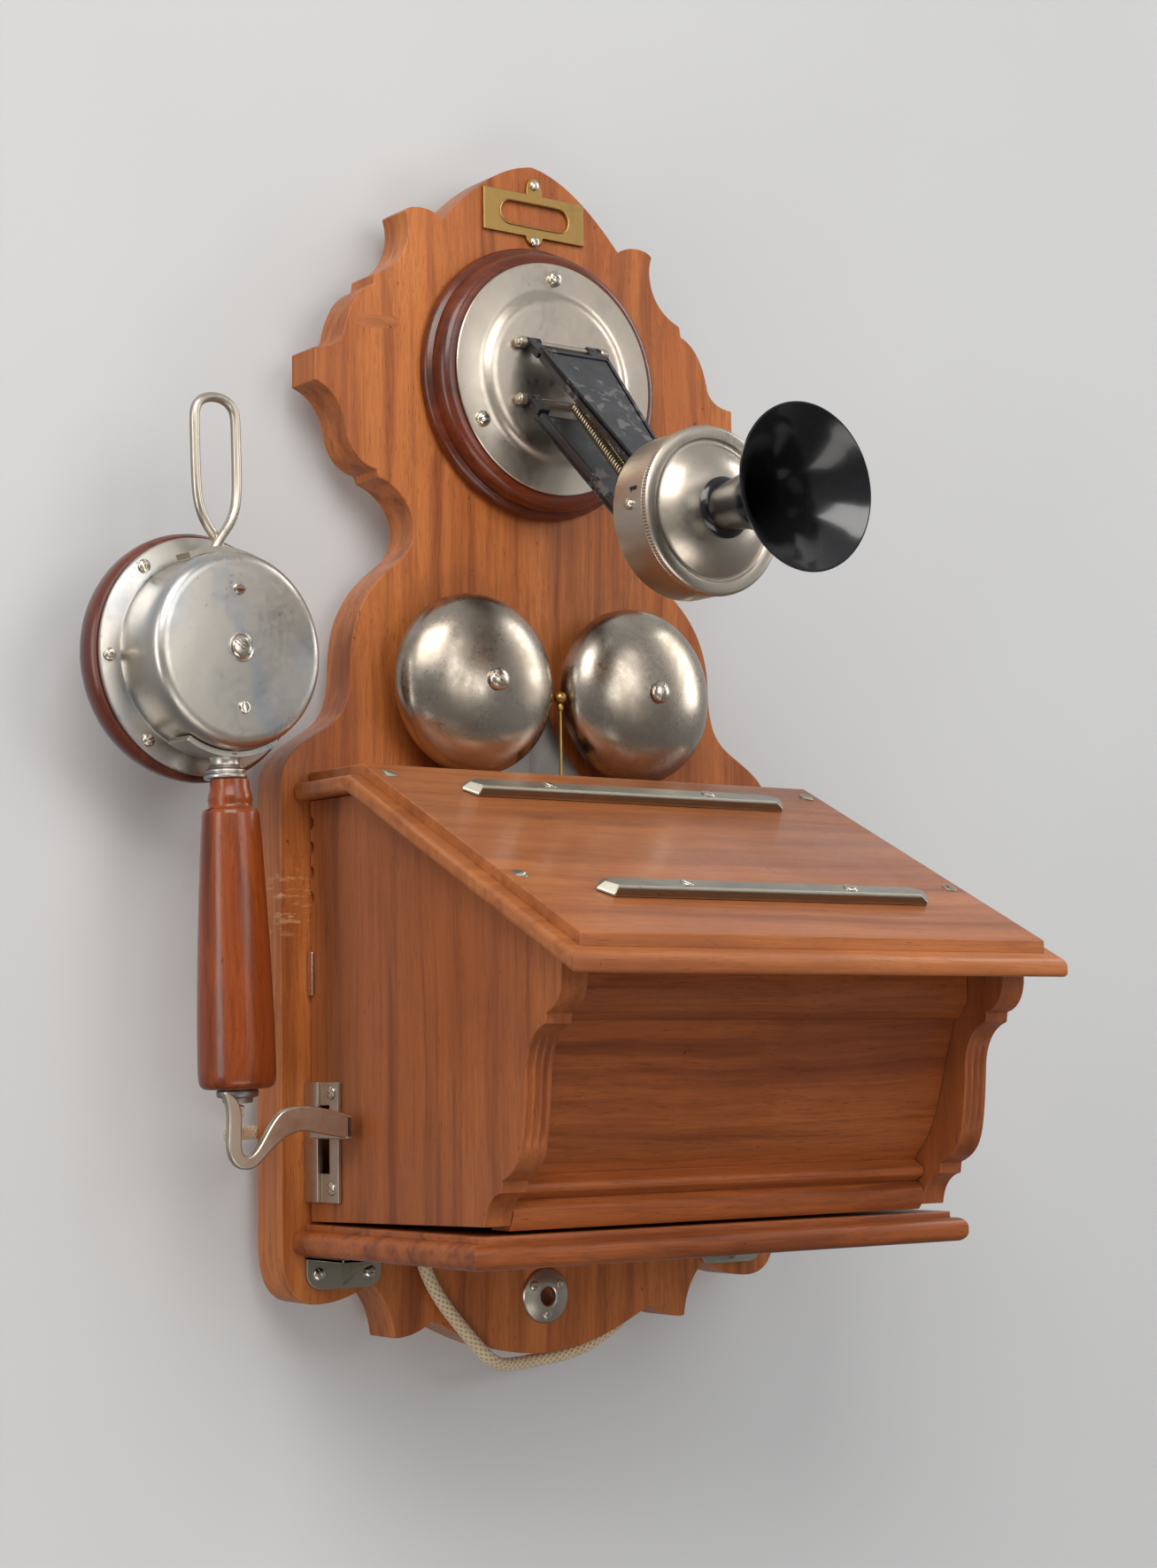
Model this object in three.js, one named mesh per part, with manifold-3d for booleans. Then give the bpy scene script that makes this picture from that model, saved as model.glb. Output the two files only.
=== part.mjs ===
// Wall crank telephone: a shaped backboard that carries a transmitter on a jointed double arm, two
// gongs with their ringer, a receiver on a hook lever, and a desk-topped housing that swings open on
// its right edge with the hand generator inside. Millimetres. X runs to the right, +Z up, the wall
// is the plane y = 0 and the telephone stands out from it towards -Y. The origin is on the wall
// behind the centre of the transmitter's base plate.
import * as THREE from "three";
import { mergeVertices } from "three/addons/utils/BufferGeometryUtils.js";
import Module from "manifold-3d";

const wasm = await Module();
wasm.setup();

// ---------------------------------------------------------------- driving dimensions

const GAP = 0.3; // left between two pieces that touch
const CLEARANCE = 0.4; // radial room round a pivot

const BATTEN_DEPTH = 8;
const BATTEN_HEIGHT = 32;
const UPPER_BATTEN_HALF = 60;
const LOWER_BATTEN_HALF = 100;
const LOWER_BATTEN_Z = -303;

const BOARD_THICKNESS = 21;
const BOARD_HALF_WIDTH = 139.5;
const BOARD_BOTTOM = -453.5;
const CREST_HALF_WIDTH = 120.9;
const BOARD_BACK = -BATTEN_DEPTH;
const BOARD_FACE = BOARD_BACK - BOARD_THICKNESS;

const ROSETTE_RADIUS = 65.5;
const ROSETTE_HEIGHT = 15.7;
const BASE_PLATE_RADIUS = 55.4;
const BASE_PLATE_RAISE = 4.3;
const PLATE_FACE = BOARD_FACE - ROSETTE_HEIGHT - GAP - BASE_PLATE_RAISE;

const PIN_RADIUS = 1.4;
const KNUCKLE_RADIUS = 2.6;
const PIN_HALF_LENGTH = 25;
const PIN_STAND_OFF = 3.0; // pin centre in front of the base plate
const PIN_SPREAD = 13.5; // each pin above or below the plate's centre
const PIN_Y = PLATE_FACE - PIN_STAND_OFF;
const ARM_REACH = 78; // forward, from the rear pins to the front pins
const ARM_DROP = 81.7; // down, over the same distance
const ARM_LENGTH = Math.hypot(ARM_REACH, ARM_DROP);
const ARM_ANGLE = Math.atan2(ARM_DROP, ARM_REACH);
const ARM_REAR_HALF = 20.5;
const ARM_FRONT_HALF = 8.5;
const SPRING_RADIUS = 2.35;
const SPRING_LIFT = 7.2; // spring axis above the lower arm's axis

const CUP_RADIUS = 36.8;
const CUP_DEPTH = 22;
const CAP_RADIUS = 37.7;
const CAP_DEPTH = 4;
const DOME_RADIUS = 30;
const DOME_HEIGHT = 7;
const NECK_RADIUS = 10.6;
const HORN_RADIUS = 36;
const HORN_LENGTH = 54;
const CUP_REAR_Y = PIN_Y - ARM_REACH - 7;

const GONG_RADIUS = 42;
const GONG_SPACING = 46; // each gong's centre from the middle line
const GONG_Z = -147.6;
const GONG_DEPTH = 21;
const GONG_STAND_OFF = 13; // rim in front of the board
const GONG_WALL = 1.8;
const POST_RADIUS = 4;
const CLAPPER_Y = BOARD_FACE - 18;
const CLAPPER_BALL_Z = GONG_Z - 3.8;
const CLAPPER_BALL_RADIUS = 3;
const CLAPPER_PIVOT_Z = -207.5;
const RINGER_PLATE_HALF = 34;
const RINGER_PLATE_THICK = 2;
const COIL_RADIUS = 11;
const COIL_SPACING = 17;

const HOUSING_MARGIN = 14.5; // board that shows beside the housing
const HOUSING_HALF = BOARD_HALF_WIDTH - HOUSING_MARGIN;
const PANEL_THICK = 13;
const PANEL_INSIDE = HOUSING_HALF - PANEL_THICK;
const HOUSING_REAR = BOARD_FACE - 1;
const HOUSING_FRONT = -164; // foot of the brackets
const HOUSING_BOTTOM = -387;
const DESK_TOP_Z = -190.8;
const DESK_BEND_Y = -74.3;
const DESK_SLOPE = (26.66 * Math.PI) / 180;
const DESK_FRONT_Y = -232;
const DESK_TREAD = 5;
const DESK_BEAD = 7.5;
const DESK_OVERHANG = 7.8; // bead past the side panels
const BAR_HALF_LENGTH = 90;
const BAR_WIDTH = 13;
const BAR_HEIGHT = 4.5;
const BAR_PLACES = [27, 135]; // down the slope from the bend

const SHELF_TOP = HOUSING_BOTTOM - 2.2;
const SHELF_THICK = 13.3;
const SHELF_OVERHANG = 9;
const SHELF_FRONT = HOUSING_FRONT - 7;
const ESCUTCHEON_RADIUS = 12.6;
const ESCUTCHEON_Z = BOARD_BOTTOM + 26.1;
const FIXING_HOLE_RADIUS = 4.3;

const HINGE_X = HOUSING_HALF + 9.5;
const HINGE_Y = BOARD_FACE - 5.8;
const HINGE_PLACES = { upper: -262, lower: -352 };
const HINGE_HEIGHT = 30;
const HINGE_RADIUS = 3;

const LEVER_Z = -346;
const LEVER_Y = BOARD_FACE - 15.5;
const LEVER_THICK = 3.6;
const LEVER_HALF_HEIGHT = 5.6;
const LEVER_PIVOT_X = -70;
const LEVER_STUD_RADIUS = 2.5;
const LEVER_STEP = 28; // the hook stands this far in front of the slot
const SLOT_TOP = LEVER_Z + 8.5;
const SLOT_BOTTOM = LEVER_Z - 22;
const PLATE_TOP = LEVER_Z + 18.5;
const PLATE_BOTTOM = LEVER_Z - 33.5;

const HANDSET_X = -BOARD_HALF_WIDTH - 40.2;
const HANDSET_Y = -62;
const HANDSET_Z = -329.6; // underside of the wooden handle
const HANDSET_YAW = (5.3 * Math.PI) / 180;
const HANDSET_ROLL = (-1.6 * Math.PI) / 180;
const HANDLE_LENGTH = 130;
const HANDLE_RADIUS = 16.4;
const HANDLE_TOP_RADIUS = 12;
const CASE_RADIUS = 42.3;
const CASE_Z = HANDLE_LENGTH + 12.2 + CASE_RADIUS; // case centre above the handle's foot
const CASE_FRONT = 12.2; // cover in front of the handle's axis
const CASE_REAR = 17.4; // flange behind it
const FLANGE_RADIUS = CASE_RADIUS + 9.2;
const EAR_CAP_RADIUS = CASE_RADIUS + 11.6;
const EAR_CAP_DEPTH = 16.5;
const LOOP_WIRE = 2.15;
const LOOP_HALF_WIDTH = 10.5;
const LOOP_TOP = CASE_Z + CASE_RADIUS + 67.5;

const CRANK_Y = -100;
const CRANK_Z = -310;
const CRANK_SHAFT_RADIUS = 4;
const CRANK_THROW = 52;
const TOOTH_MODULE = 1.5;
const GEAR_TEETH = 40;
const PINION_TEETH = 10;
const GEAR_WIDTH = 4;
const ARMATURE_Z = CRANK_Z - (TOOTH_MODULE * (GEAR_TEETH + PINION_TEETH)) / 2 - 0.2;
const ARMATURE_RADIUS = 13.5;
const MAGNET_HALF = 30;

const CORD_RADIUS = 3.1;
const CORD_SIDES = 10;
const CORD_STEPS = 64;
const CORD_EXIT_X = -74;
const CORD_EXIT_Y = -38;

// ---------------------------------------------------------------- materials

function finish(color, roughness, metalness) {
  return () => new THREE.MeshStandardMaterial({ color, roughness, metalness });
}

const walnut = finish(0xa5623a, 0.45, 0);
const darkWood = finish(0x6e3420, 0.35, 0);
const battenWood = finish(0x8a6a4c, 0.8, 0);
const nickel = finish(0xa59b8c, 0.32, 1);
const brass = finish(0x9a834b, 0.4, 1);
const steel = finish(0x77767a, 0.4, 1);
const castBlack = finish(0x17181a, 0.5, 0.2);
const ebonite = finish(0x0b0b0c, 0.18, 0);
const winding = finish(0x3f6b45, 0.8, 0);
const magnetRed = finish(0x7c2320, 0.5, 0.1);
const cloth = finish(0xc9ab7c, 0.95, 0);

// ---------------------------------------------------------------- solid helpers

function toSolid(geometry) {
  const plain = geometry.index ? geometry.toNonIndexed() : geometry.clone();
  for (const name of ["normal", "uv"]) plain.deleteAttribute(name);
  const merged = mergeVertices(plain, 1e-4);
  const solid = new wasm.Manifold(
    new wasm.Mesh({
      numProp: 3,
      vertProperties: merged.attributes.position.array,
      triVerts: new Uint32Array(merged.index.array),
    }),
  );
  return solid;
}

function toGeometry(solid) {
  const mesh = solid.getMesh();
  const geometry = new THREE.BufferGeometry();
  geometry.setAttribute("position", new THREE.BufferAttribute(mesh.vertProperties, 3));
  geometry.setIndex(new THREE.BufferAttribute(mesh.triVerts, 1));
  return geometry;
}

function join(first, ...others) {
  let solid = toSolid(first);
  for (const other of others) solid = solid.add(toSolid(other));
  return toGeometry(solid);
}

function cut(first, ...others) {
  let solid = toSolid(first);
  for (const other of others) solid = solid.subtract(toSolid(other));
  return toGeometry(solid);
}

function box(x0, x1, y0, y1, z0, z1) {
  const geometry = new THREE.BoxGeometry(Math.abs(x1 - x0), Math.abs(y1 - y0), Math.abs(z1 - z0));
  return geometry.translate((x0 + x1) / 2, (y0 + y1) / 2, (z0 + z1) / 2);
}

// A closed profile of [radius, height] points turned about an axis. It runs anticlockwise, so that
// the faces point out whichever way the points were given.
function turned(profile, axis, centre, segments = 28) {
  let area = 0;
  profile.forEach(([r, h], i) => {
    const [nextR, nextH] = profile[(i + 1) % profile.length];
    area += r * nextH - nextR * h;
  });
  const ordered = area < 0 ? [...profile].reverse() : profile;
  const onAxis = ordered.some(([r]) => r === 0);
  const closed = onAxis ? openAtAxis(ordered) : [...ordered, ordered[0]];
  const points = closed.map(([r, h]) => new THREE.Vector2(r, h));
  const geometry = new THREE.LatheGeometry(points, segments);
  if (axis === "x") geometry.rotateZ(-Math.PI / 2);
  if (axis === "z") geometry.rotateX(Math.PI / 2);
  if (axis === "-y") geometry.rotateX(Math.PI);
  return geometry.translate(...centre);
}

// Starts a closed profile at the axis, so that its last point is on the axis too.
function openAtAxis(profile) {
  const n = profile.length;
  const start = profile.findIndex(([r], i) => r === 0 && profile[(i + n - 1) % n][0] === 0);
  return profile.map((_, i) => profile[(start + i) % n]);
}

function rod(radius, axis, from, to, centre, segments = 16) {
  return turned([[0, from], [radius, from], [radius, to], [0, to]], axis, centre, segments);
}

function ring(inner, outer, axis, from, to, centre, segments = 24) {
  return turned([[inner, from], [outer, from], [outer, to], [inner, to]], axis, centre, segments);
}

// An outline drawn in X and Z, filled from y = back to y = front.
function slabXZ(shape, back, front, curveSegments = 8) {
  const depth = back - front;
  const geometry = new THREE.ExtrudeGeometry(shape, { depth, bevelEnabled: false, curveSegments });
  return geometry.rotateX(Math.PI / 2).translate(0, back, 0);
}

// An outline drawn in Y and Z, filled from x0 to x1. A bevel rounds the two end faces' edges.
function slabYZ(shape, x0, x1, bevel = 0) {
  const options = {
    depth: x1 - x0 - 2 * bevel,
    curveSegments: 6,
    bevelEnabled: bevel > 0,
    bevelThickness: bevel,
    bevelSize: bevel,
    bevelOffset: -bevel,
    bevelSegments: 3,
  };
  const basis = new THREE.Matrix4().makeBasis(
    new THREE.Vector3(0, 1, 0),
    new THREE.Vector3(0, 0, 1),
    new THREE.Vector3(1, 0, 0),
  );
  return new THREE.ExtrudeGeometry(shape, options).applyMatrix4(basis).translate(x0 + bevel, 0, 0);
}

function polygon(points) {
  return new THREE.Shape(points.map(([a, b]) => new THREE.Vector2(a, b)));
}

function circleHole(x, y, radius) {
  const hole = new THREE.Path();
  hole.absarc(x, y, radius, 0, 2 * Math.PI);
  return hole;
}

// A round bar bent along a smooth line.
function bentRod(points, radius, sides, steps, closed = false) {
  const path = new THREE.CatmullRomCurve3(points.map((p) => new THREE.Vector3(...p)), closed);
  const section = new THREE.Shape();
  for (let i = 0; i < sides; i++) {
    const a = (2 * Math.PI * i) / sides;
    const corner = [radius * Math.cos(a), radius * Math.sin(a)];
    if (i === 0) section.moveTo(...corner);
    else section.lineTo(...corner);
  }
  return new THREE.ExtrudeGeometry(section, { steps, extrudePath: path, bevelEnabled: false });
}

function place(name, geometry, material) {
  const mesh = new THREE.Mesh(geometry, material());
  mesh.name = name;
  return mesh;
}

// ---------------------------------------------------------------- backboard

// Right half of the outline, from the top of the crest to the middle of the foot.
function boardHalf() {
  const w = CREST_HALF_WIDTH / 120.9;
  const b = BOARD_HALF_WIDTH;
  const foot = BOARD_BOTTOM;
  const half = new THREE.Path();
  half.moveTo(0, 107);
  half.quadraticCurveTo(24 * w, 104, 51.4 * w, 73);
  half.quadraticCurveTo(57 * w, 77.5, 65 * w, 76.8);
  half.quadraticCurveTo(70 * w, 76.4, 72 * w, 74);
  half.bezierCurveTo(68.5 * w, 66, 70 * w, 48, 88.7 * w, 41.5);
  half.lineTo(89.4 * w, 36.5);
  half.quadraticCurveTo(102 * w, 32, 106 * w, 11);
  half.quadraticCurveTo(109 * w, 3.5, CREST_HALF_WIDTH, 2.9);
  half.lineTo(CREST_HALF_WIDTH, -12.5);
  half.quadraticCurveTo(106.5 * w, -17, 104.6 * w, -34.5);
  half.quadraticCurveTo(100 * w, -48.5, 88.5 * w, -50);
  half.lineTo(87 * w, -53.6);
  half.bezierCurveTo(69 * w, -59, 63 * w, -78, 75 * w, -89.5);
  half.bezierCurveTo(90 * w, -101, 102.5 * w, -113, 103 * w, -140);
  half.bezierCurveTo(103.3 * w, -158, 107 * w, -164, b - 23.5, -170);
  half.bezierCurveTo(b - 11.5, -178, b, -182, b, -198);
  half.lineTo(b, foot + 57.5);
  half.bezierCurveTo(b, foot + 39.5, b - 4.5, foot + 29.2, b - 18.5, foot + 29.2);
  half.quadraticCurveTo(b - 33.5, foot + 29.5, b - 45, foot + 37);
  half.quadraticCurveTo(b - 56, foot + 27.5, b - 57.5, foot + 12);
  half.quadraticCurveTo(b - 68.5, foot + 11.5, b - 77.5, foot + 18);
  half.bezierCurveTo(b - 91.5, foot + 12.5, 30, foot, 0, foot);
  return half;
}

function backboard() {
  const half = boardHalf().getPoints(5);
  const left = half.slice(1, -1).reverse();
  const outline = new THREE.Shape([...half, ...left.map((p) => new THREE.Vector2(-p.x, p.y))]);
  outline.holes.push(circleHole(0, ESCUTCHEON_Z, FIXING_HOLE_RADIUS));
  return place("backboard", slabXZ(outline, BOARD_BACK, BOARD_FACE), walnut);
}

function batten(name, halfWidth, z) {
  const low = z - BATTEN_HEIGHT / 2;
  const solid = box(-halfWidth, halfWidth, 0, BOARD_BACK + GAP, low, low + BATTEN_HEIGHT);
  return place(name, solid, battenWood);
}

function nameFrame() {
  const front = BOARD_FACE - 1.8;
  const outer = new THREE.Shape();
  outer.moveTo(-29.2, 72.2);
  outer.lineTo(29.2, 72.2);
  outer.lineTo(29.2, 92.7);
  outer.lineTo(4.5, 92.7);
  outer.quadraticCurveTo(4.5, 101, 0, 101);
  outer.quadraticCurveTo(-4.5, 101, -4.5, 92.7);
  outer.lineTo(-29.2, 92.7);
  const window = new THREE.Path();
  window.moveTo(-14, 76.4);
  window.lineTo(14, 76.4);
  window.absarc(14, 82.4, 6, -Math.PI / 2, Math.PI / 2);
  window.lineTo(-14, 88.4);
  window.absarc(-14, 82.4, 6, Math.PI / 2, (3 * Math.PI) / 2);
  outer.holes.push(window);
  return place("name_card_frame", slabXZ(outer, BOARD_FACE - GAP, front, 5), brass);
}

function escutcheon() {
  const from = -BOARD_FACE + GAP;
  const solid = ring(FIXING_HOLE_RADIUS, ESCUTCHEON_RADIUS, "-y", from, from + 3, [0, 0, ESCUTCHEON_Z]);
  return place("fixing_escutcheon", solid, nickel);
}

// ---------------------------------------------------------------- transmitter

function rosette() {
  const h = ROSETTE_HEIGHT;
  const r = ROSETTE_RADIUS;
  const profile = [
    [0, GAP], [r - 1.5, GAP], [r, 2.5], [r - 0.5, 5], [r - 3, 6.3], [r - 3.4, 7.6],
    [r - 3.8, 10.4], [r - 5.5, 13.2], [r - 8.3, h - 0.5], [r - 9.6, h], [0, h],
  ];
  return place("rosette", turned(profile, "-y", [0, BOARD_FACE, 0], 40), darkWood);
}

function basePlate() {
  const r = BASE_PLATE_RADIUS;
  const top = BASE_PLATE_RAISE;
  const profile = [
    [0, 0], [r, 0], [r, 1], [r - 13, 1.2], [r - 15, 1.8], [r - 17.2, top - 0.6],
    [r - 19, top], [0, top],
  ];
  const back = BOARD_FACE - ROSETTE_HEIGHT - GAP;
  return place("base_plate", turned(profile, "-y", [0, back, 0], 40), nickel);
}

// A pin on two lugs that stand on the base plate. The arm's knuckle turns between the lugs.
function armPin(name, z) {
  const centre = [0, PIN_Y, z];
  const end = PIN_HALF_LENGTH;
  const lug = PIN_HALF_LENGTH - 3.6;
  const pieces = [rod(PIN_RADIUS, "x", -end, end, centre, 12)];
  for (const [from, to] of [[lug, end], [-end, -lug]]) {
    pieces.push(rod(KNUCKLE_RADIUS, "x", from, to, centre, 16));
    pieces.push(box(from, to, PIN_Y, PLATE_FACE - GAP, z - 1.6, z + 1.6));
  }
  return place(name, join(...pieces), nickel);
}

// A point of the arm's side view: u runs along the arm from its rear pin, v stands up from it.
function alongArm(pinZ, u, v) {
  const c = Math.cos(ARM_ANGLE);
  const s = Math.sin(ARM_ANGLE);
  return [PIN_Y - u * c - v * s, pinZ - u * s + v * c];
}

function armSlab(pinZ, x0, x1, corners) {
  return slabYZ(polygon(corners.map(([u, v]) => alongArm(pinZ, u, v))), x0, x1);
}

// A wedge that narrows from the rear half-width to the front one, between two heights.
function armWedge(pinZ, inset, u0, u1, v0, v1) {
  const halfAt = (u) => ARM_REAR_HALF - ((ARM_REAR_HALF - ARM_FRONT_HALF) * u) / ARM_LENGTH - inset;
  const wide = halfAt(u0);
  const narrow = halfAt(u1);
  const body = toSolid(armSlab(pinZ, -wide, wide, [[u0, v0], [u1, v0], [u1, v1], [u0, v1]]));
  const [uFar, vFar] = [u1 + 1, v1 + 1];
  const trims = [1, -1].map((side) => {
    const corners = [];
    for (const u of [u0, uFar])
      for (const v of [v0 - 1, vFar])
        for (const extra of [0, 30]) {
          const [y, z] = alongArm(pinZ, u, v);
          corners.push([side * (halfAt(u) + extra), y, z]);
        }
    return wasm.Manifold.hull(corners);
  });
  return toGeometry(body.subtract(trims[0]).subtract(trims[1]));
}

function armKnuckle(pinZ, u, half) {
  const [y, z] = alongArm(pinZ, u, 0);
  return rod(KNUCKLE_RADIUS, "x", -half, half, [0, y, z], 16);
}

function armBore(pinZ, u) {
  const [y, z] = alongArm(pinZ, u, 0);
  return rod(PIN_RADIUS + CLEARANCE, "x", -ARM_REAR_HALF - 5, ARM_REAR_HALF + 5, [0, y, z], 12);
}

// A cast arm: a tapering channel with a knuckle at each end. The open side faces the other arm.
function castArm(name, pinZ, facing) {
  const end = ARM_LENGTH - 4;
  const web = facing * 3.8;
  const lip = -facing * 3.6;
  const low = Math.min(web, lip);
  const high = Math.max(web, lip);
  const hollow = facing > 0 ? [low - 1, high - 2.6] : [low + 2.6, high + 1];
  const channel = cut(
    armWedge(pinZ, 0, 7, end - 3, low, high),
    armWedge(pinZ, 3, 11, end - 7, hollow[0], hollow[1]),
    armWedge(pinZ, 4, 14, end - 12, facing > 0 ? high - 0.8 : low - 1, facing > 0 ? high + 1 : low + 0.8),
  );
  const solid = cut(
    join(
      channel,
      armWedge(pinZ, 0, 0, 8, -1.9, 1.9),
      armWedge(pinZ, 0, end - 4, ARM_LENGTH, -1.9, 1.9),
      armKnuckle(pinZ, 0, PIN_HALF_LENGTH - 4.2),
      armKnuckle(pinZ, ARM_LENGTH, ARM_FRONT_HALF),
    ),
    armBore(pinZ, 0),
    armBore(pinZ, ARM_LENGTH),
  );
  return place(name, solid, castBlack);
}

// The counter spring, as the plain cylinder that its turns fill.
function armSpring() {
  const points = [10, 40, ARM_LENGTH - 14].map((u) => [0, ...alongArm(-PIN_SPREAD, u, SPRING_LIFT)]);
  return place("counter_spring", bentRod(points, SPRING_RADIUS, 8, 6), steel);
}

// The cup's rear lugs carry the front pins, one for each arm.
function transmitterCup() {
  const z = -ARM_DROP;
  const centre = [0, 0, z];
  const rear = -CUP_REAR_Y;
  const front = rear + CUP_DEPTH;
  const profile = [
    [0, rear], [CUP_RADIUS - 3, rear], [CUP_RADIUS, rear + 2], [CUP_RADIUS, front],
    [CUP_RADIUS - 2.5, front], [CUP_RADIUS - 2.5, rear + 3], [0, rear + 3],
  ];
  const pinY = PIN_Y - ARM_REACH;
  const pieces = [turned(profile, "-y", centre, 36)];
  const inner = ARM_FRONT_HALF + 1.6;
  for (const side of [-1, 1]) {
    const [x0, x1] = side > 0 ? [inner, inner + 3] : [-inner - 3, -inner];
    pieces.push(box(x0, x1, pinY + 3, CUP_REAR_Y - 1, z - PIN_SPREAD - 3.4, z + PIN_SPREAD + 3.4));
  }
  for (const side of [-1, 1])
    pieces.push(rod(PIN_RADIUS, "x", -inner - 3.6, inner + 3.6, [0, pinY, z + side * PIN_SPREAD], 12));
  return place("transmitter_cup", join(...pieces), nickel);
}

function transmitterCap() {
  const back = -CUP_REAR_Y + CUP_DEPTH + GAP;
  const face = back + CAP_DEPTH;
  const dome = face + DOME_HEIGHT;
  const bore = NECK_RADIUS + GAP;
  const profile = [
    [bore, dome], [bore + 3, dome - 0.4], [DOME_RADIUS - 8, dome - 2.8], [DOME_RADIUS - 2.5, face + 1.6],
    [DOME_RADIUS, face - 0.6], [DOME_RADIUS + 1.4, face], [CAP_RADIUS - 1, face], [CAP_RADIUS, face - 0.8],
    [CAP_RADIUS, back], [DOME_RADIUS - 1, back], [DOME_RADIUS - 4, face - 0.4], [DOME_RADIUS - 9, dome - 4.6],
    [bore, dome - 2.6],
  ];
  return place("transmitter_cap", turned(profile, "-y", [0, 0, -ARM_DROP], 36), nickel);
}

function horn() {
  const root = -CUP_REAR_Y + CUP_DEPTH + GAP + CAP_DEPTH + DOME_HEIGHT;
  const n = NECK_RADIUS;
  const flare = (t, from) => from + (HORN_RADIUS - from) * t ** 2.3;
  const outside = [0.1, 0.35, 0.55, 0.7, 0.82, 0.92, 1].map((t) => [flare(t, n), root + HORN_LENGTH * t]);
  const inside = [0.97, 0.88, 0.76, 0.6, 0.4, 0.15].map((t) => [flare(t, n) - 2.2, root + HORN_LENGTH * t]);
  const bore = n - 3;
  const profile = [
    [bore, root - 12], [n, root - 12], ...outside, [HORN_RADIUS - 1.2, root + HORN_LENGTH + 0.6],
    ...inside, [bore, root],
  ];
  return place("horn", turned(profile, "-y", [0, 0, -ARM_DROP], 32), ebonite);
}

function carbonButton() {
  const rear = -CUP_REAR_Y + 3 + GAP;
  const profile = [
    [0, rear], [12, rear], [12, rear + 9], [31, rear + 10.5], [31, rear + 12], [0, rear + 12],
  ];
  return place("carbon_button", turned(profile, "-y", [0, 0, -ARM_DROP], 24), brass);
}

// ---------------------------------------------------------------- ringer

function gong(name, x) {
  const r = GONG_RADIUS;
  const d = GONG_DEPTH;
  const rim = -BOARD_FACE + GONG_STAND_OFF;
  const dome = (radius, depth, turns) =>
    turns.map((a) => [radius * Math.cos(a), rim + depth * Math.sin(a) ** 0.86]);
  const angles = [0, 0.16, 0.36, 0.58, 0.82, 1.06, 1.28];
  const outside = dome(r, d, angles);
  const inside = dome(r - GONG_WALL, d - GONG_WALL, angles).reverse();
  const hole = POST_RADIUS - 1;
  const profile = [...outside, [hole, rim + d], [hole, rim + d - GONG_WALL], ...inside];
  return place(name, turned(profile, "-y", [x, 0, GONG_Z], 36), nickel);
}

// A post from the board up to the gong, and through it to the head of its screw.
function gongPost(name, x) {
  const foot = -BOARD_FACE + GAP;
  const seat = -BOARD_FACE + GONG_STAND_OFF + GONG_DEPTH - GONG_WALL - GAP;
  const head = seat + GONG_WALL + 2 * GAP;
  const neck = POST_RADIUS - 1 - GAP;
  const profile = [
    [0, foot], [POST_RADIUS + 3, foot], [POST_RADIUS + 3, foot + 2], [POST_RADIUS, foot + 3],
    [POST_RADIUS, seat], [neck, seat], [neck, head], [5, head], [5, head + 2.2], [4, head + 3], [0, head + 3],
  ];
  return place(name, turned(profile, "-y", [x, 0, GONG_Z], 20), nickel);
}

function ringerPlate() {
  const half = RINGER_PLATE_HALF;
  const top = GONG_Z - 6;
  const shape = new THREE.Shape();
  shape.moveTo(-4, top);
  shape.lineTo(4, top);
  shape.quadraticCurveTo(10, DESK_TOP_Z + 14, half, DESK_TOP_Z - 4);
  shape.lineTo(half, DESK_TOP_Z - 72);
  shape.lineTo(-half, DESK_TOP_Z - 72);
  shape.lineTo(-half, DESK_TOP_Z - 4);
  shape.quadraticCurveTo(-10, DESK_TOP_Z + 14, -4, top);
  const back = BOARD_FACE - GAP;
  return place("ringer_plate", slabXZ(shape, back, back - RINGER_PLATE_THICK), steel);
}

// Two bobbins on a yoke, standing on a foot that the ringer plate carries.
function ringerCoils() {
  const top = CLAPPER_PIVOT_Z - 7;
  const y = CLAPPER_Y - 1;
  const plate = BOARD_FACE - GAP - RINGER_PLATE_THICK - GAP;
  const pieces = [box(-COIL_SPACING - 10, COIL_SPACING + 10, plate, y - 8, top - 45, top - 40)];
  for (const x of [-COIL_SPACING, COIL_SPACING]) {
    const bobbin = [
      [0, top - 41], [COIL_RADIUS, top - 41], [COIL_RADIUS, top - 38], [COIL_RADIUS - 1.5, top - 37.5],
      [COIL_RADIUS - 1.5, top - 4.5], [COIL_RADIUS, top - 4], [COIL_RADIUS, top - 1], [3.5, top - 1],
      [3.5, top], [0, top],
    ];
    pieces.push(turned(bobbin, "z", [x, y, 0], 18));
  }
  return place("ringer_coils", join(...pieces), winding);
}

function clapper() {
  const bar = CLAPPER_PIVOT_Z + 2.6;
  const ball = new THREE.SphereGeometry(CLAPPER_BALL_RADIUS, 14, 10);
  ball.translate(0, CLAPPER_Y, CLAPPER_BALL_Z);
  const wire = rod(0.9, "z", bar - 1, CLAPPER_BALL_Z, [0, CLAPPER_Y, 0], 8);
  return place("clapper", join(wire, ball), brass);
}

function ringerArmature() {
  const y = CLAPPER_Y;
  const low = CLAPPER_PIVOT_Z - 2;
  const bar = box(-COIL_SPACING - 7, COIL_SPACING + 7, y - 5, y + 5, low, low + 4);
  const bore = rod(1.2, "z", low - 1, low + 5, [0, y, 0], 8);
  return place("ringer_armature", cut(bar, bore), steel);
}

// ---------------------------------------------------------------- housing

// Height of the desk's surface, taken a given thickness below it along its normal.
function deskHeight(y, below) {
  const bend = DESK_BEND_Y + below * Math.tan(DESK_SLOPE / 2);
  if (y >= bend) return DESK_TOP_Z - below;
  return DESK_TOP_Z - below - (bend - y) * Math.tan(DESK_SLOPE);
}

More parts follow.
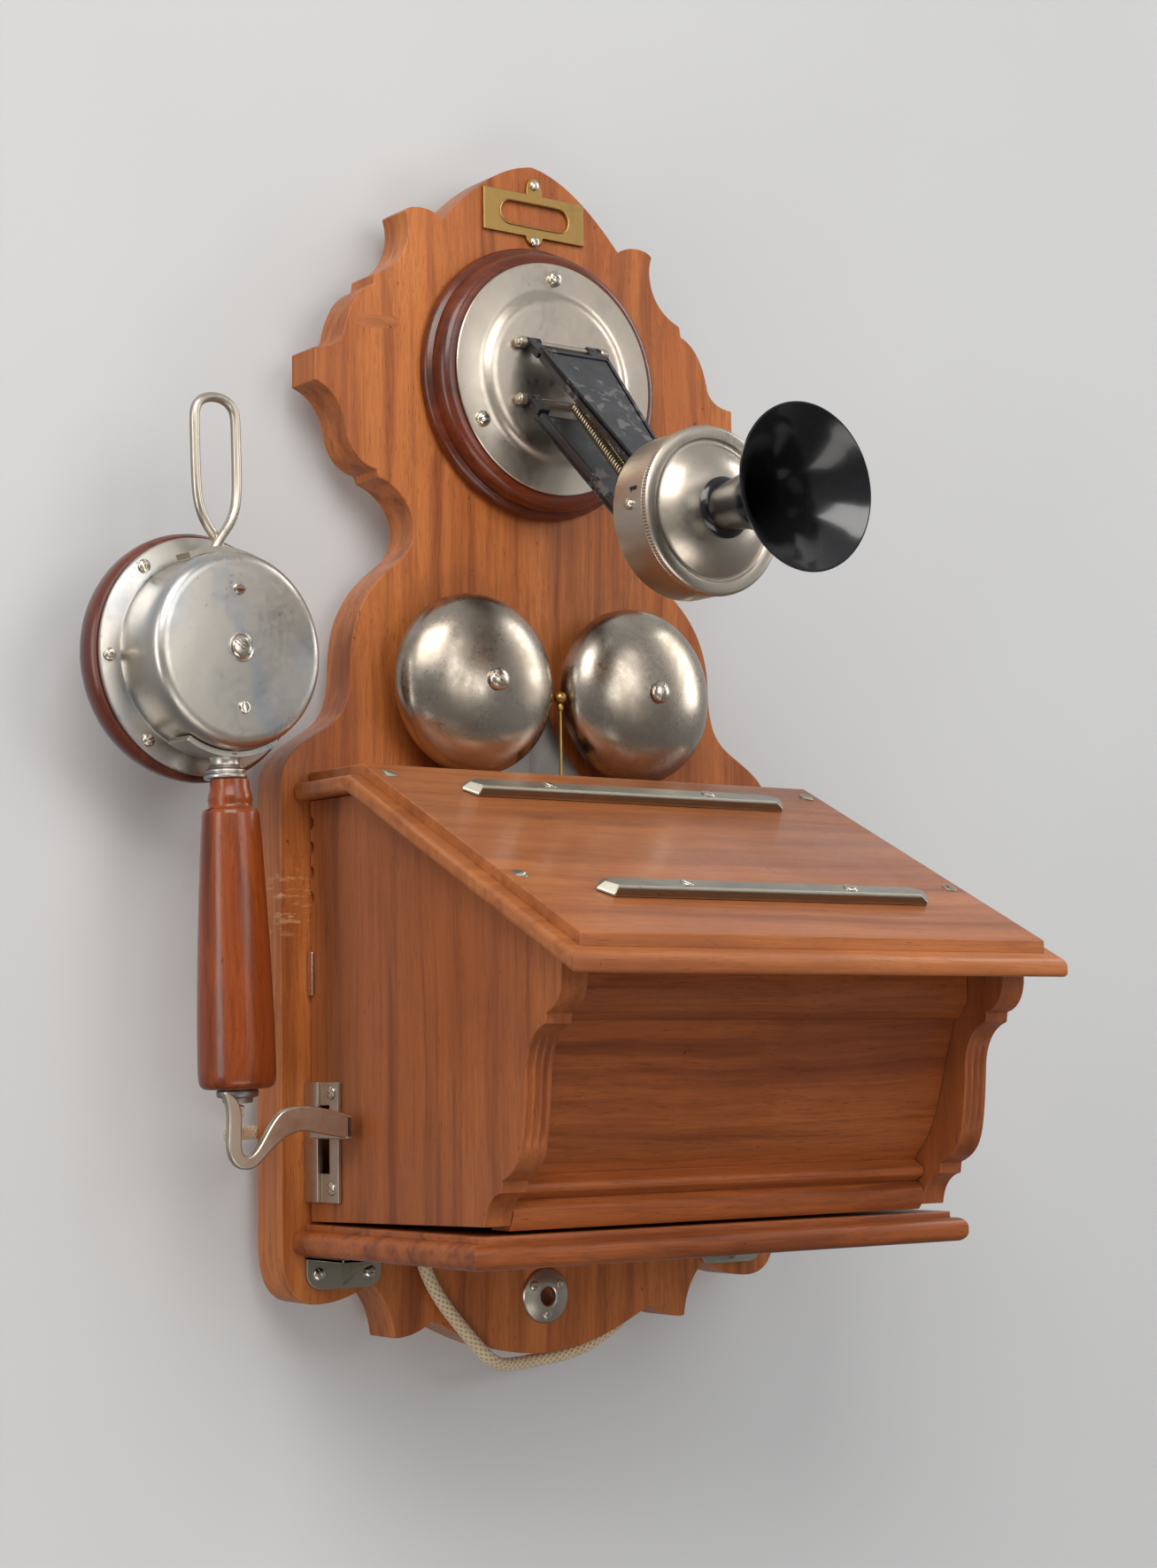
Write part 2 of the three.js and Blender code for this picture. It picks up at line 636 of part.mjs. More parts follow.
function panelTop(y) {
  return deskHeight(y, DESK_TREAD + DESK_BEAD + GAP);
}

// Side view of a side panel. Its front edge is the scrolled bracket under the desk.
function sidePanelOutline() {
  const f = HOUSING_FRONT;
  const b = HOUSING_BOTTOM;
  const bend = DESK_BEND_Y + (DESK_TREAD + DESK_BEAD + GAP) * Math.tan(DESK_SLOPE / 2);
  const shape = new THREE.Shape();
  shape.moveTo(HOUSING_REAR, b);
  shape.lineTo(HOUSING_REAR, panelTop(HOUSING_REAR));
  shape.lineTo(bend, panelTop(bend));
  shape.lineTo(f - 55.5, panelTop(f - 55.5));
  shape.lineTo(f - 55, b + 100);
  shape.quadraticCurveTo(f - 53.5, b + 89.5, f - 44.5, b + 87.5);
  shape.lineTo(f - 43.8, b + 83.2);
  shape.quadraticCurveTo(f - 32, b + 80, f - 30.2, b + 65);
  shape.quadraticCurveTo(f - 28.8, b + 41, f - 25.6, b + 32.5);
  shape.quadraticCurveTo(f - 22.5, b + 24.5, f - 13, b + 21.5);
  shape.lineTo(f - 12.2, b + 16.6);
  shape.quadraticCurveTo(f - 1, b + 14.5, f, b);
  return shape;
}

// Flutes down the front of a bracket, as shallow grooves along its middle stretch.
function bracketFlutes(x0, x1) {
  const f = HOUSING_FRONT;
  const b = HOUSING_BOTTOM;
  const count = 2;
  const pitch = (x1 - x0) / (count + 1);
  const path = [[f - 33, b + 76], [f - 31, b + 62], [f - 29.4, b + 46], [f - 26.6, b + 36]];
  return Array.from({ length: count }, (_, i) => {
    const x = x0 + pitch * (i + 1);
    return bentRod(path.map(([y, z]) => [x, y, z]), 1.3, 6, 6);
  });
}

function sidePanel(name, side) {
  const x0 = side < 0 ? -HOUSING_HALF : PANEL_INSIDE;
  const x1 = side < 0 ? -PANEL_INSIDE : HOUSING_HALF;
  const cuts = bracketFlutes(x0, x1);
  if (side < 0) {
    cuts.push(box(x0 - 1, x1 + 1, HOUSING_REAR + 1, LEVER_Y - 5, SLOT_TOP, SLOT_BOTTOM));
    for (let i = 0; i < 4; i++)
      cuts.push(rod(3, "x", x0 - 1, x1 + 1, [0, HOUSING_REAR, -213 - 11.2 * i], 10));
  } else {
    cuts.push(rod(CRANK_SHAFT_RADIUS + 1, "x", x0 - 1, x1 + 1, [0, CRANK_Y, CRANK_Z], 20));
  }
  return place(name, cut(slabYZ(sidePanelOutline(), x0, x1), ...cuts), walnut);
}

// Section of the front: a rail under the desk, a long cove, and a moulding at the foot.
function frontPanel() {
  const f = HOUSING_FRONT;
  const b = HOUSING_BOTTOM;
  const under = (y) => panelTop(y);
  const shape = new THREE.Shape();
  shape.moveTo(f - 33, under(f - 33));
  shape.lineTo(f - 33, b + 93.5);
  shape.quadraticCurveTo(f - 33, b + 89.4, f - 29, b + 89.2);
  shape.lineTo(f - 25.5, b + 85.5);
  shape.bezierCurveTo(f - 17, b + 71, f - 14.5, b + 38, f + 1.5, b + 26);
  shape.lineTo(f + 3.5, b + 23);
  shape.lineTo(f + 1, b + 21.5);
  shape.quadraticCurveTo(f - 2, b + 18, f + 0.5, b + 15.2);
  shape.lineTo(f + 3, b + 13.6);
  shape.quadraticCurveTo(f - 2.5, b + 9.5, f + 1.2, b + 1);
  shape.lineTo(f + 14, b + 1);
  shape.lineTo(f + 13, b + 28);
  shape.quadraticCurveTo(f - 2, b + 45, f - 8, b + 84);
  shape.lineTo(f - 22, under(f - 22));
  const half = PANEL_INSIDE - GAP;
  return place("front_panel", slabYZ(shape, -half, half), walnut);
}

// The desk is two boards in one: a tread with a square edge on a wider board with a round edge.
function deskTop() {
  const tan = Math.tan(DESK_SLOPE);
  const past = HOUSING_REAR + 8;
  const tread = polygon([
    [past, DESK_TOP_Z], [DESK_BEND_Y, DESK_TOP_Z], [DESK_FRONT_Y, deskHeight(DESK_FRONT_Y, 0)],
    [DESK_FRONT_Y - 1.2, deskHeight(DESK_FRONT_Y, DESK_TREAD + 0.2)],
    [DESK_BEND_Y, deskHeight(DESK_BEND_Y, DESK_TREAD + 0.2)], [past, DESK_TOP_Z - DESK_TREAD - 0.2],
  ]);
  const lip = DESK_FRONT_Y - 6;
  const bottom = DESK_TREAD + DESK_BEAD;
  const bead = polygon([
    [past, DESK_TOP_Z - DESK_TREAD], [DESK_BEND_Y + 2.4 * tan, DESK_TOP_Z - DESK_TREAD],
    [lip + 3, deskHeight(lip + 3, DESK_TREAD)], [lip, deskHeight(lip, DESK_TREAD + 2.4)],
    [lip + 0.6, deskHeight(lip + 0.6, bottom - 1.6)], [lip + 3.6, deskHeight(lip + 3.6, bottom)],
    [DESK_BEND_Y + 6 * tan, DESK_TOP_Z - bottom], [past, DESK_TOP_Z - bottom],
  ]);
  const wide = HOUSING_HALF + DESK_OVERHANG;
  const rear = box(-wide - 9, wide + 9, past + 9, HOUSING_REAR, DESK_TOP_Z + 9, DESK_TOP_Z - 30);
  const plateHalf = RINGER_PLATE_HALF + 4;
  const plateNotch = box(-plateHalf, plateHalf, 0, BOARD_FACE - 4.6, DESK_TOP_Z + 9, DESK_TOP_Z - 30);
  const wireNotch = box(-9, 9, 0, CLAPPER_Y - 8, DESK_TOP_Z + 9, DESK_TOP_Z - 30);
  const boards = join(slabYZ(tread, -HOUSING_HALF, HOUSING_HALF), slabYZ(bead, -wide, wide));
  return place("desk_top", cut(boards, rear, plateNotch, wireNotch), walnut);
}

// A bevelled bar that lies across the desk and holds a writing pad's edge.
function paperBar(name, down) {
  const cos = Math.cos(DESK_SLOPE);
  const sin = Math.sin(DESK_SLOPE);
  const half = BAR_WIDTH / 2;
  const point = (along, up) => [
    DESK_BEND_Y - (down + along) * cos - up * sin,
    DESK_TOP_Z - (down + along) * sin + up * cos,
  ];
  const section = [
    [-half, GAP], [half, GAP], [half, 1.6],
    [half - 2.6, BAR_HEIGHT], [-half + 2.6, BAR_HEIGHT], [-half, 1.6],
  ];
  const shape = polygon(section.map(([along, up]) => point(along, up)));
  return place(name, slabYZ(shape, -BAR_HALF_LENGTH, BAR_HALF_LENGTH, 0), nickel);
}

function latchPlate() {
  const x = -HOUSING_HALF - GAP;
  return place("latch_plate", box(x - 1.4, x, HOUSING_REAR, HOUSING_REAR - 4, -270.5, -289.5), nickel);
}

// ---------------------------------------------------------------- shelf

function baseShelf() {
  const treadHalf = HOUSING_HALF + 3;
  const half = HOUSING_HALF + SHELF_OVERHANG;
  const bottom = SHELF_TOP - SHELF_THICK;
  const bead = 4.6;
  const rear = BOARD_FACE + 8;
  const corners = [[-half, rear], [half, rear], [half, SHELF_FRONT], [-half, SHELF_FRONT]];
  const slab = new THREE.ExtrudeGeometry(polygon(corners), {
    depth: SHELF_THICK - 2.4 - 2 * bead,
    bevelEnabled: true,
    bevelThickness: bead,
    bevelSize: bead,
    bevelOffset: -bead,
    bevelSegments: 4,
  });
  slab.translate(0, 0, bottom + bead);
  const tread = box(-treadHalf, treadHalf, BOARD_FACE + 8, HOUSING_FRONT - 1, SHELF_TOP, SHELF_TOP - 4);
  const wall = box(-half - 9, half + 9, 0, BOARD_FACE - GAP, SHELF_TOP + 9, bottom - 9);
  const cordHole = rod(CORD_RADIUS + 2, "z", bottom - 9, SHELF_TOP + 9, [CORD_EXIT_X, CORD_EXIT_Y, 0]);
  return place("base_shelf", cut(join(slab, tread), wall, cordHole), walnut);
}

// An angle with a gusset, screwed under the shelf.
function shelfBracket(name, side) {
  const x = side * (HOUSING_HALF - 16);
  const top = SHELF_TOP - SHELF_THICK - GAP;
  const back = BOARD_FACE - GAP;
  const gusset = polygon([[back - 1, top - 1], [back - 30, top - 1], [back - 1, top - 14]]);
  const solid = join(
    box(x - 19, x + 19, back, back - 2, top, top - 15),
    box(x - 19, x + 19, back, back - 32, top, top - 2),
    slabYZ(gusset, x - 1.5, x + 1.5),
  );
  return place(name, solid, nickel);
}

// ---------------------------------------------------------------- door hinges

function boardLeaf(name, z) {
  const middle = HINGE_HEIGHT / 6;
  const half = HINGE_HEIGHT / 2;
  const back = BOARD_FACE - GAP;
  const centre = [HINGE_X, HINGE_Y, z];
  const solid = join(
    box(HOUSING_HALF + 1.6, BOARD_HALF_WIDTH - 0.5, back, back - 1.8, z - half, z + half),
    box(HINGE_X - 1.5, HINGE_X + 1.5, back - 1, HINGE_Y, z - middle + CLEARANCE, z + middle - CLEARANCE),
    rod(HINGE_RADIUS, "z", -middle + CLEARANCE, middle - CLEARANCE, centre),
    rod(1.3, "z", -half, half, centre, 10),
  );
  return place(name, solid, brass);
}

function doorLeaf(name, z) {
  const middle = HINGE_HEIGHT / 6;
  const half = HINGE_HEIGHT / 2;
  const x = HOUSING_HALF + GAP;
  const y = HINGE_Y - HINGE_RADIUS;
  const centre = [HINGE_X, HINGE_Y, z];
  const solid = join(
    box(x, x + 1.7, y, y - 17, z - half, z + half),
    box(x, HINGE_X, y, y + 1.4, middle + z, z + half),
    box(x, HINGE_X, y, y + 1.4, z - half, z - middle),
    rod(HINGE_RADIUS, "z", middle, half, centre),
    rod(HINGE_RADIUS, "z", -half, -middle, centre),
  );
  return place(name, cut(solid, rod(1.3 + CLEARANCE, "z", -half - 1, half + 1, centre, 10)), brass);
}

// ---------------------------------------------------------------- hook

// Fixed strip behind the lever's slot, standing on the board beside the housing.
function hookGuide() {
  const x = -HOUSING_HALF - CLEARANCE;
  const solid = box(x - 2.8, x, BOARD_FACE - GAP, LEVER_Y + 4, PLATE_TOP, PLATE_BOTTOM);
  return place("hook_guide_strip", solid, nickel);
}

// Plate on the side panel, with the lever's slot open towards the wall.
function hookPlate() {
  const x = -HOUSING_HALF - GAP;
  const rear = LEVER_Y + 3.7;
  const plate = box(x - 1.6, x, rear, rear - 15, PLATE_TOP, PLATE_BOTTOM);
  const slot = box(x - 9, x + 9, rear + 9, rear - 7.6, SLOT_TOP, SLOT_BOTTOM + 1);
  return place("hook_slot_plate", cut(plate, slot), nickel);
}

// Front view of the hook: the bar swells over a shoulder, dips into the hook and turns up to its tip.
function hookOutline() {
  const x = HANDSET_X;
  const root = -HOUSING_HALF - 5.8;
  const z = LEVER_Z;
  const shape = new THREE.Shape();
  shape.moveTo(root, z + 4.5);
  shape.bezierCurveTo(x + 33, z + 8.5, x + 22, z + 11.5, x + 14, z + 6.5);
  shape.bezierCurveTo(x + 7, z + 1, x + 4, z - 11.3, x - 1.9, z - 11.3);
  shape.bezierCurveTo(x - 6, z - 11.3, x - 4.2, z - 1, x - 4.6, z + 6);
  shape.bezierCurveTo(x - 5.4, z + 12.5, x - 8.5, z + 14, x - 11.4, z + 15.8);
  shape.lineTo(x - 13.4, z + 15.2);
  shape.bezierCurveTo(x - 9.5, z + 9, x - 10.5, z + 3, x - 10.8, z - 6);
  shape.bezierCurveTo(x - 10.6, z - 16.9, x - 1, z - 20, x + 5, z - 13.5);
  shape.bezierCurveTo(x + 12, z - 6.5, x + 18, z - 1, x + 27, z - 1.6);
  shape.lineTo(root, z - 5.6);
  return shape;
}

// The lever turns on a stud inside the housing, steps forward outside it, and ends in the hook.
function hookLever() {
  const y = LEVER_Y;
  const t = LEVER_THICK / 2;
  const z = LEVER_Z;
  const root = -HOUSING_HALF - 5.8;
  const tail = LEVER_PIVOT_X + 25;
  const h = LEVER_HALF_HEIGHT;
  const bar = polygon([
    [root - 3.4, z - h], [tail, z - h + 1.6],
    [tail, z + h - 1.6], [root - 3.4, z + h - 1],
  ]);
  const front = y - LEVER_STEP;
  const solid = join(
    slabXZ(bar, y + t, y - t),
    box(root - 3.4, root, y + t, front - t, z - h, z + h - 1),
    slabXZ(hookOutline(), front + t, front - t, 6),
  );
  const bore = rod(LEVER_STUD_RADIUS + CLEARANCE, "-y", 0, 90, [LEVER_PIVOT_X, 0, z]);
  return place("hook_lever", cut(solid, bore), nickel);
}

function hookBracket() {
  const x = LEVER_PIVOT_X;
  const z = LEVER_Z;
  const back = BOARD_FACE - GAP;
  const solid = join(
    box(x - 18, x + 18, back, back - 2.4, z - 15, z + 15),
    rod(LEVER_STUD_RADIUS, "-y", -back, -LEVER_Y + 6, [x, 0, z]),
    rod(LEVER_STUD_RADIUS + 2, "-y", -LEVER_Y + LEVER_THICK / 2 + 1, -LEVER_Y + 6, [x, 0, z]),
    rod(LEVER_STUD_RADIUS + 2, "-y", -back, -LEVER_Y - LEVER_THICK / 2 - 1, [x, 0, z]),
  );
  return place("hook_bracket", solid, brass);
}

// A block with two leaf springs that the lever's tail works.
function hookContacts() {
  const x = LEVER_PIVOT_X + 34;
  const z = LEVER_Z + 21;
  const back = BOARD_FACE - GAP;
  const solid = join(
    box(x, x + 18, back, back - 22, z - 7, z + 7),
    box(x - 24, x + 1, LEVER_Y + 3, LEVER_Y - 3, z - 4, z - 3.2),
    box(x - 20, x + 1, LEVER_Y + 3, LEVER_Y - 3, z + 2.2, z + 3),
  );
  return place("hook_contacts", solid, brass);
}

// ---------------------------------------------------------------- receiver

function receiverHandle() {
  const r = HANDLE_RADIUS;
  const l = HANDLE_LENGTH;
  const top = HANDLE_TOP_RADIUS;
  const profile = [
    [0, 0], [r - 3.6, 0], [r - 1.2, 1], [r - 0.1, 3.4], [r, 8], [r - 0.4, 30], [r - 2.1, 75],
    [top + 0.3, l - 16], [top, l - 14], [top - 1.2, l - 12.6], [top - 2.8, l - 9], [top - 3.7, l - 4],
    [top - 3.8, l], [0, l],
  ];
  return place("receiver_handle", turned(profile, "z", [0, 0, 0], 28), darkWood);
}

function receiverFerrule() {
  const profile = [
    [0, -5.9], [6.4, -5.9], [6.4, -3.6], [8.4, -3.4], [8.9, -2.6], [8.9, -GAP], [0, -GAP],
  ];
  return place("receiver_ferrule", turned(profile, "z", [0, 0, 0], 20), nickel);
}

// Part of a ring round the case, seen from the front, between two angles from the X axis.
function caseStrap(from, to, outer, y0, y1) {
  const inner = CASE_RADIUS + CLEARANCE;
  const shape = new THREE.Shape();
  shape.absarc(0, CASE_Z, outer, from, to);
  shape.absarc(0, CASE_Z, inner, to, from, true);
  return slabXZ(shape, y1, y0, 10);
}

function receiverCollar() {
  const l = HANDLE_LENGTH;
  const under = CASE_Z - CASE_RADIUS - 1.6;
  const profile = [
    [0, l + GAP], [8.6, l + GAP], [9.2, l + 1.4], [9.2, l + 2.8], [7.6, l + 3.8], [6.4, l + 6.4],
    [7.2, under], [0, under],
  ];
  const saddle = caseStrap(-Math.PI / 2 - 0.55, -Math.PI / 2 + 0.55, CASE_RADIUS + 3, -4, 11);
  return place("receiver_collar", join(turned(profile, "z", [0, 3, 0], 20), saddle), nickel);
}

function receiverCase() {
  const r = CASE_RADIUS;
  const front = CASE_FRONT;
  const rear = -CASE_REAR;
  const profile = [
    [0, front], [r - 3.6, front], [r - 2.2, front - 0.5], [r - 0.3, front - 3.2], [r, front - 6],
    [r - 0.8, rear + 8], [r - 1.2, rear], [FLANGE_RADIUS, rear], [FLANGE_RADIUS, rear - 2],
    [r - 3.4, rear - 2], [r - 3.4, front - 2.5], [0, front - 2.5],
  ];
  return place("receiver_case", turned(profile, "-y", [0, 0, CASE_Z], 36), nickel);
}

function earCap() {
  const r = EAR_CAP_RADIUS;
  const near = -CASE_REAR - 2 - GAP;
  const far = near - EAR_CAP_DEPTH;
  const profile = [
    [38, near], [r - 1.6, near], [r, near - 2.4], [r, near - 6], [r - 1.5, far + 3.6], [r - 5, far + 0.4],
    [r - 8, far], [r - 12, far + 1.4], [24, far + 5.5], [8, far + 7], [8, near - 3.5], [38, near - 3.5],
  ];
  return place("ear_cap", turned(profile, "-y", [0, 0, CASE_Z], 36), darkWood);
}

// The wire is bent to a long loop whose ends cross on a strap that hugs the case.
function hangingLoop() {
  const w = LOOP_HALF_WIDTH;
  const y = 4;
  const strapTop = CASE_Z + CASE_RADIUS + 2.2;
  const points = [
    [3, strapTop - 1], [-2.4, strapTop + 6], [-w + 1.6, strapTop + 18], [-w, strapTop + 34],
    [-w, LOOP_TOP - 12], [-w * 0.72, LOOP_TOP - 3], [0, LOOP_TOP], [w * 0.72, LOOP_TOP - 3],
    [w, LOOP_TOP - 12], [w, strapTop + 34], [w - 1.6, strapTop + 18], [2.4, strapTop + 6], [-3, strapTop - 1],
  ];
  const wire = points.map(([x, z], i) => [x, y + (i - 6) * 0.16, z]);
  const legs = [wire.slice(0, 7), wire.slice(6)].map((leg) => bentRod(leg, LOOP_WIRE, 8, 24));
  const strap = caseStrap(Math.PI / 2 - 0.42, Math.PI / 2 + 0.42, CASE_RADIUS + 2.8, -1, 9);
  return place("hanging_loop", join(...legs, strap), nickel);
}

// Horseshoe magnet inside the case.
function receiverMagnet() {
  const outer = 32;
  const shape = new THREE.Shape();
  shape.absarc(0, CASE_Z, outer, -Math.PI * 0.15, Math.PI * 1.15);
  shape.absarc(0, CASE_Z, outer - 12, Math.PI * 1.15, -Math.PI * 0.15, true);
  const back = -CASE_FRONT + 2.5 + GAP;
  return place("receiver_magnet", slabXZ(shape, back + 8, back, 14), steel);
}

// ---------------------------------------------------------------- generator

// A spur gear's outline in Y and Z. Its flanks are straight, and it has room to run.
function gearOutline(teeth, y, z, phase) {
  const pitch = (TOOTH_MODULE * teeth) / 2;
  const tip = pitch + TOOTH_MODULE * 0.8;
  const root = pitch - TOOTH_MODULE * 1.15;
  const step = (2 * Math.PI) / teeth;
  const corners = [];
  for (let i = 0; i < teeth; i++)
    for (const [share, radius] of [[-0.3, root], [-0.11, tip], [0.11, tip], [0.3, root]]) {
      const a = phase + (i + share) * step;
      corners.push([y + radius * Math.cos(a), z + radius * Math.sin(a)]);
    }
  return polygon(corners);
}

function crankGear() {
  const x = PANEL_INSIDE - 12;
  const shape = gearOutline(GEAR_TEETH, CRANK_Y, CRANK_Z, -Math.PI / 2);
  for (let i = 0; i < 4; i++) {
    const a = (i * Math.PI) / 2 + Math.PI / 4;
    shape.holes.push(circleHole(CRANK_Y + 17 * Math.cos(a), CRANK_Z + 17 * Math.sin(a), 7));
  }
  const centre = [0, CRANK_Y, CRANK_Z];
  const solid = join(
    slabYZ(shape, x, x + GEAR_WIDTH),
    rod(CRANK_SHAFT_RADIUS, "x", x - 3.5, HOUSING_HALF + 12.6, centre),
    rod(2.8, "x", x - 6.6, x, centre, 12),
    rod(8, "x", x, x + GEAR_WIDTH + 3, centre),
  );
  return place("crank_gear", solid, brass);
}

// The crank stands outside the right side panel, its knob hanging down at rest.
function crankArm() {
  const x = HOUSING_HALF + 7;
  const end = CRANK_Z - CRANK_THROW;
  const shape = new THREE.Shape();
  shape.moveTo(CRANK_Y - 9, CRANK_Z);
  shape.absarc(CRANK_Y, CRANK_Z, 9, Math.PI, 0, true);
  shape.quadraticCurveTo(CRANK_Y + 4, CRANK_Z - 20, CRANK_Y + 6.5, end);
  shape.absarc(CRANK_Y, end, 6.5, 0, -Math.PI, true);
  shape.quadraticCurveTo(CRANK_Y - 4, CRANK_Z - 20, CRANK_Y - 9, CRANK_Z);
  shape.holes.push(circleHole(CRANK_Y, CRANK_Z, CRANK_SHAFT_RADIUS + GAP));
  shape.holes.push(circleHole(CRANK_Y, end, 2.8 + GAP));
  return place("crank_arm", slabYZ(shape, x, x + 5), nickel);
}

function crankKnob() {
  const x = HOUSING_HALF + 12 + GAP;
  const profile = [
    [0, x - 6], [2.8, x - 6], [2.8, x], [7, x], [8, x + 2], [7.2, x + 6], [9.4, x + 14], [10, x + 24],
    [8.6, x + 32], [5, x + 36], [0, x + 37],
  ];
  return place("crank_knob", turned(profile, "x", [0, CRANK_Y, CRANK_Z - CRANK_THROW], 20), darkWood);
}

function generatorPlate(name, x, posts) {
  const y = CRANK_Y;
  const [low, high] = [ARMATURE_Z - 26, CRANK_Z + 22];
  const shape = polygon([[y - 40, low], [y + 40, low], [y + 40, high], [y - 40, high]]);
  shape.holes.push(circleHole(y, ARMATURE_Z, 2.5 + CLEARANCE));
  shape.holes.push(circleHole(y, CRANK_Z, 2.8 + CLEARANCE));
  let solid = slabYZ(shape, x, x + 3);
  if (posts)
    for (const [side, z] of [[-1, low + 5], [1, low + 5], [-1, high - 5], [1, high - 5]])
      solid = join(solid, rod(3, "x", x + 2, PANEL_INSIDE - GAP, [0, y + side * 36, z], 12));
  return place(name, solid, brass);
}

function magnet(name, x, width) {
  const y = CRANK_Y;
  const arch = ARMATURE_Z + 18;
  const foot = ARMATURE_Z - 20;
  const slot = 10;
  const shape = new THREE.Shape();
  const bore = ARMATURE_RADIUS + 1.2;
  const edge = Math.acos(slot / bore);
  shape.moveTo(y + slot, foot);
  shape.lineTo(y + MAGNET_HALF, foot);
  shape.absarc(y, arch, MAGNET_HALF, 0, Math.PI);
  shape.lineTo(y - MAGNET_HALF, foot);
  shape.lineTo(y - slot, foot);
  shape.absarc(y, ARMATURE_Z, bore, Math.PI + edge, Math.PI - edge, true);
  shape.absarc(y, arch, slot, Math.PI, 0, true);
  shape.absarc(y, ARMATURE_Z, bore, edge, -edge, true);
  return place(name, slabYZ(shape, x, x + width), magnetRed);
}

function armature(left, right) {
  const centre = [0, CRANK_Y, ARMATURE_Z];
  const x = PANEL_INSIDE - 12;
  const phase = Math.PI / 2 + Math.PI / PINION_TEETH;
  const solid = join(
    rod(ARMATURE_RADIUS, "x", left, right, centre, 20),
    rod(2.5, "x", left - 9, x + 1, centre, 12),
    slabYZ(gearOutline(PINION_TEETH, CRANK_Y, ARMATURE_Z, phase), x, x + GEAR_WIDTH),
  );
  return place("generator_armature", solid, steel);
}

// ---------------------------------------------------------------- parts on the board inside

function inductionCoil() {
  const profile = [
    [0, -60], [17, -60], [17, -55], [13, -55], [13, -2], [17, -2], [17, 3], [0, 3],
  ];
  return place("induction_coil", turned(profile, "x", [0, BOARD_FACE - 18, -288], 20), winding);
}

function terminalBlock() {
  const back = BOARD_FACE - GAP;
  return place("terminal_block", box(-12, 52, back, back - 13, -326, -312), darkWood);
}

// ---------------------------------------------------------------- cord

// Down from the shelf, under the foot of the board, up behind it and out to the receiver.
const CORD_ROUTE = [
  [-74, -38, -391], [-73.5, -37.5, -400], [-70.5, -36, -409.7], [-65, -34.5, -419],
  [-58.5, -33.4, -427.5], [-50, -32.9, -437], [-41, -32.8, -446.5], [-33, -31.6, -453.2],
  [-24, -28, -457], [-13, -23.5, -457.8], [0, -20.5, -457.4], [15, -19, -456.3],
  [30, -18, -453.4], [42, -16.5, -448.8], [52, -13.6, -444.6], [58.5, -8.6, -442.6],
  [63, -4.2, -441.8], [67, -3.9, -436.5], [69.5, -4, -428], [68, -4, -414], [58, -4, -400],
  [40, -4, -388],
  [10, -4, -377], [-25, -4, -368], [-60, -4, -361], [-95, -4, -355], [-128, -4, -350.3],
  [-142, -4.8, -349.5], [-152, -13.5, -349.5], [-164, -29, -350], [-172, -42, -350],
  [-177.8, -53, -347.6], [-179.8, -60.2, -342.4], [-179.8, -62, -336.3],
];

function cord() {
  return place("cord", bentRod(CORD_ROUTE, CORD_RADIUS, CORD_SIDES, CORD_STEPS), cloth);
}

// ---------------------------------------------------------------- assembly

function receiver() {
  const yawed = new THREE.Group();
  yawed.rotation.z = HANDSET_YAW;
  yawed.add(
    receiverHandle(),
    receiverFerrule(),
    receiverCollar(),
    receiverCase(),
    earCap(),
    hangingLoop(),
    receiverMagnet(),
  );
  const rolled = new THREE.Group();
  rolled.rotation.y = HANDSET_ROLL;
  rolled.position.set(HANDSET_X, HANDSET_Y, HANDSET_Z);
  rolled.add(yawed);
  return rolled;
}

function transmitter() {
  const group = new THREE.Group();
  group.add(
    rosette(),
    basePlate(),
    armPin("upper_arm_pin", PIN_SPREAD),
    armPin("lower_arm_pin", -PIN_SPREAD),
    castArm("upper_arm", PIN_SPREAD, 1),
    castArm("lower_arm", -PIN_SPREAD, -1),
    armSpring(),
    transmitterCup(),
    transmitterCap(),
    carbonButton(),
    horn(),
  );
  return group;
}

function ringer() {
  const group = new THREE.Group();
  for (const [name, side] of [["left", -1], ["right", 1]])
    group.add(gong("gong_" + name, side * GONG_SPACING), gongPost("gong_post_" + name, side * GONG_SPACING));
  group.add(ringerPlate(), ringerCoils(), clapper(), ringerArmature());
  return group;
}

function generator() {
  const right = PANEL_INSIDE - 19;
  const left = right - 46;
  const group = new THREE.Group();
  group.add(
    generatorPlate("generator_plate_right", right, true),
    generatorPlate("generator_plate_left", left, false),
    magnet("generator_magnets", left + 3 + GAP, right - left - 3 - 2 * GAP),
    armature(left + 5, right - 3),
    crankGear(),
    crankArm(),
    crankKnob(),
  );
  return group;
}

function housing() {
  const group = new THREE.Group();
  group.add(
    sidePanel("side_panel_left", -1),
    sidePanel("side_panel_right", 1),
    frontPanel(),
    deskTop(),
    paperBar("paper_bar_upper", BAR_PLACES[0]),
    paperBar("paper_bar_lower", BAR_PLACES[1]),
    latchPlate(),
    hookPlate(),
    generator(),
  );
  for (const [name, z] of Object.entries(HINGE_PLACES)) group.add(doorLeaf("door_leaf_" + name, z));
  return group;
}

function wallSide() {
  const group = new THREE.Group();
  group.add(
    backboard(),
    batten("upper_batten", UPPER_BATTEN_HALF, 0),
    batten("lower_batten", LOWER_BATTEN_HALF, LOWER_BATTEN_Z),
    nameFrame(),
    escutcheon(),
    baseShelf(),
    shelfBracket("shelf_bracket_left", -1),
    shelfBracket("shelf_bracket_right", 1),
    hookGuide(),
    hookBracket(),
    hookContacts(),
    hookLever(),
    inductionCoil(),
    terminalBlock(),
    cord(),
  );
  for (const [name, z] of Object.entries(HINGE_PLACES)) group.add(boardLeaf("board_leaf_" + name, z));
  return group;
}

const telephone = new THREE.Group();
telephone.add(wallSide(), transmitter(), ringer(), housing(), receiver());

export default telephone;
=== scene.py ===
import math

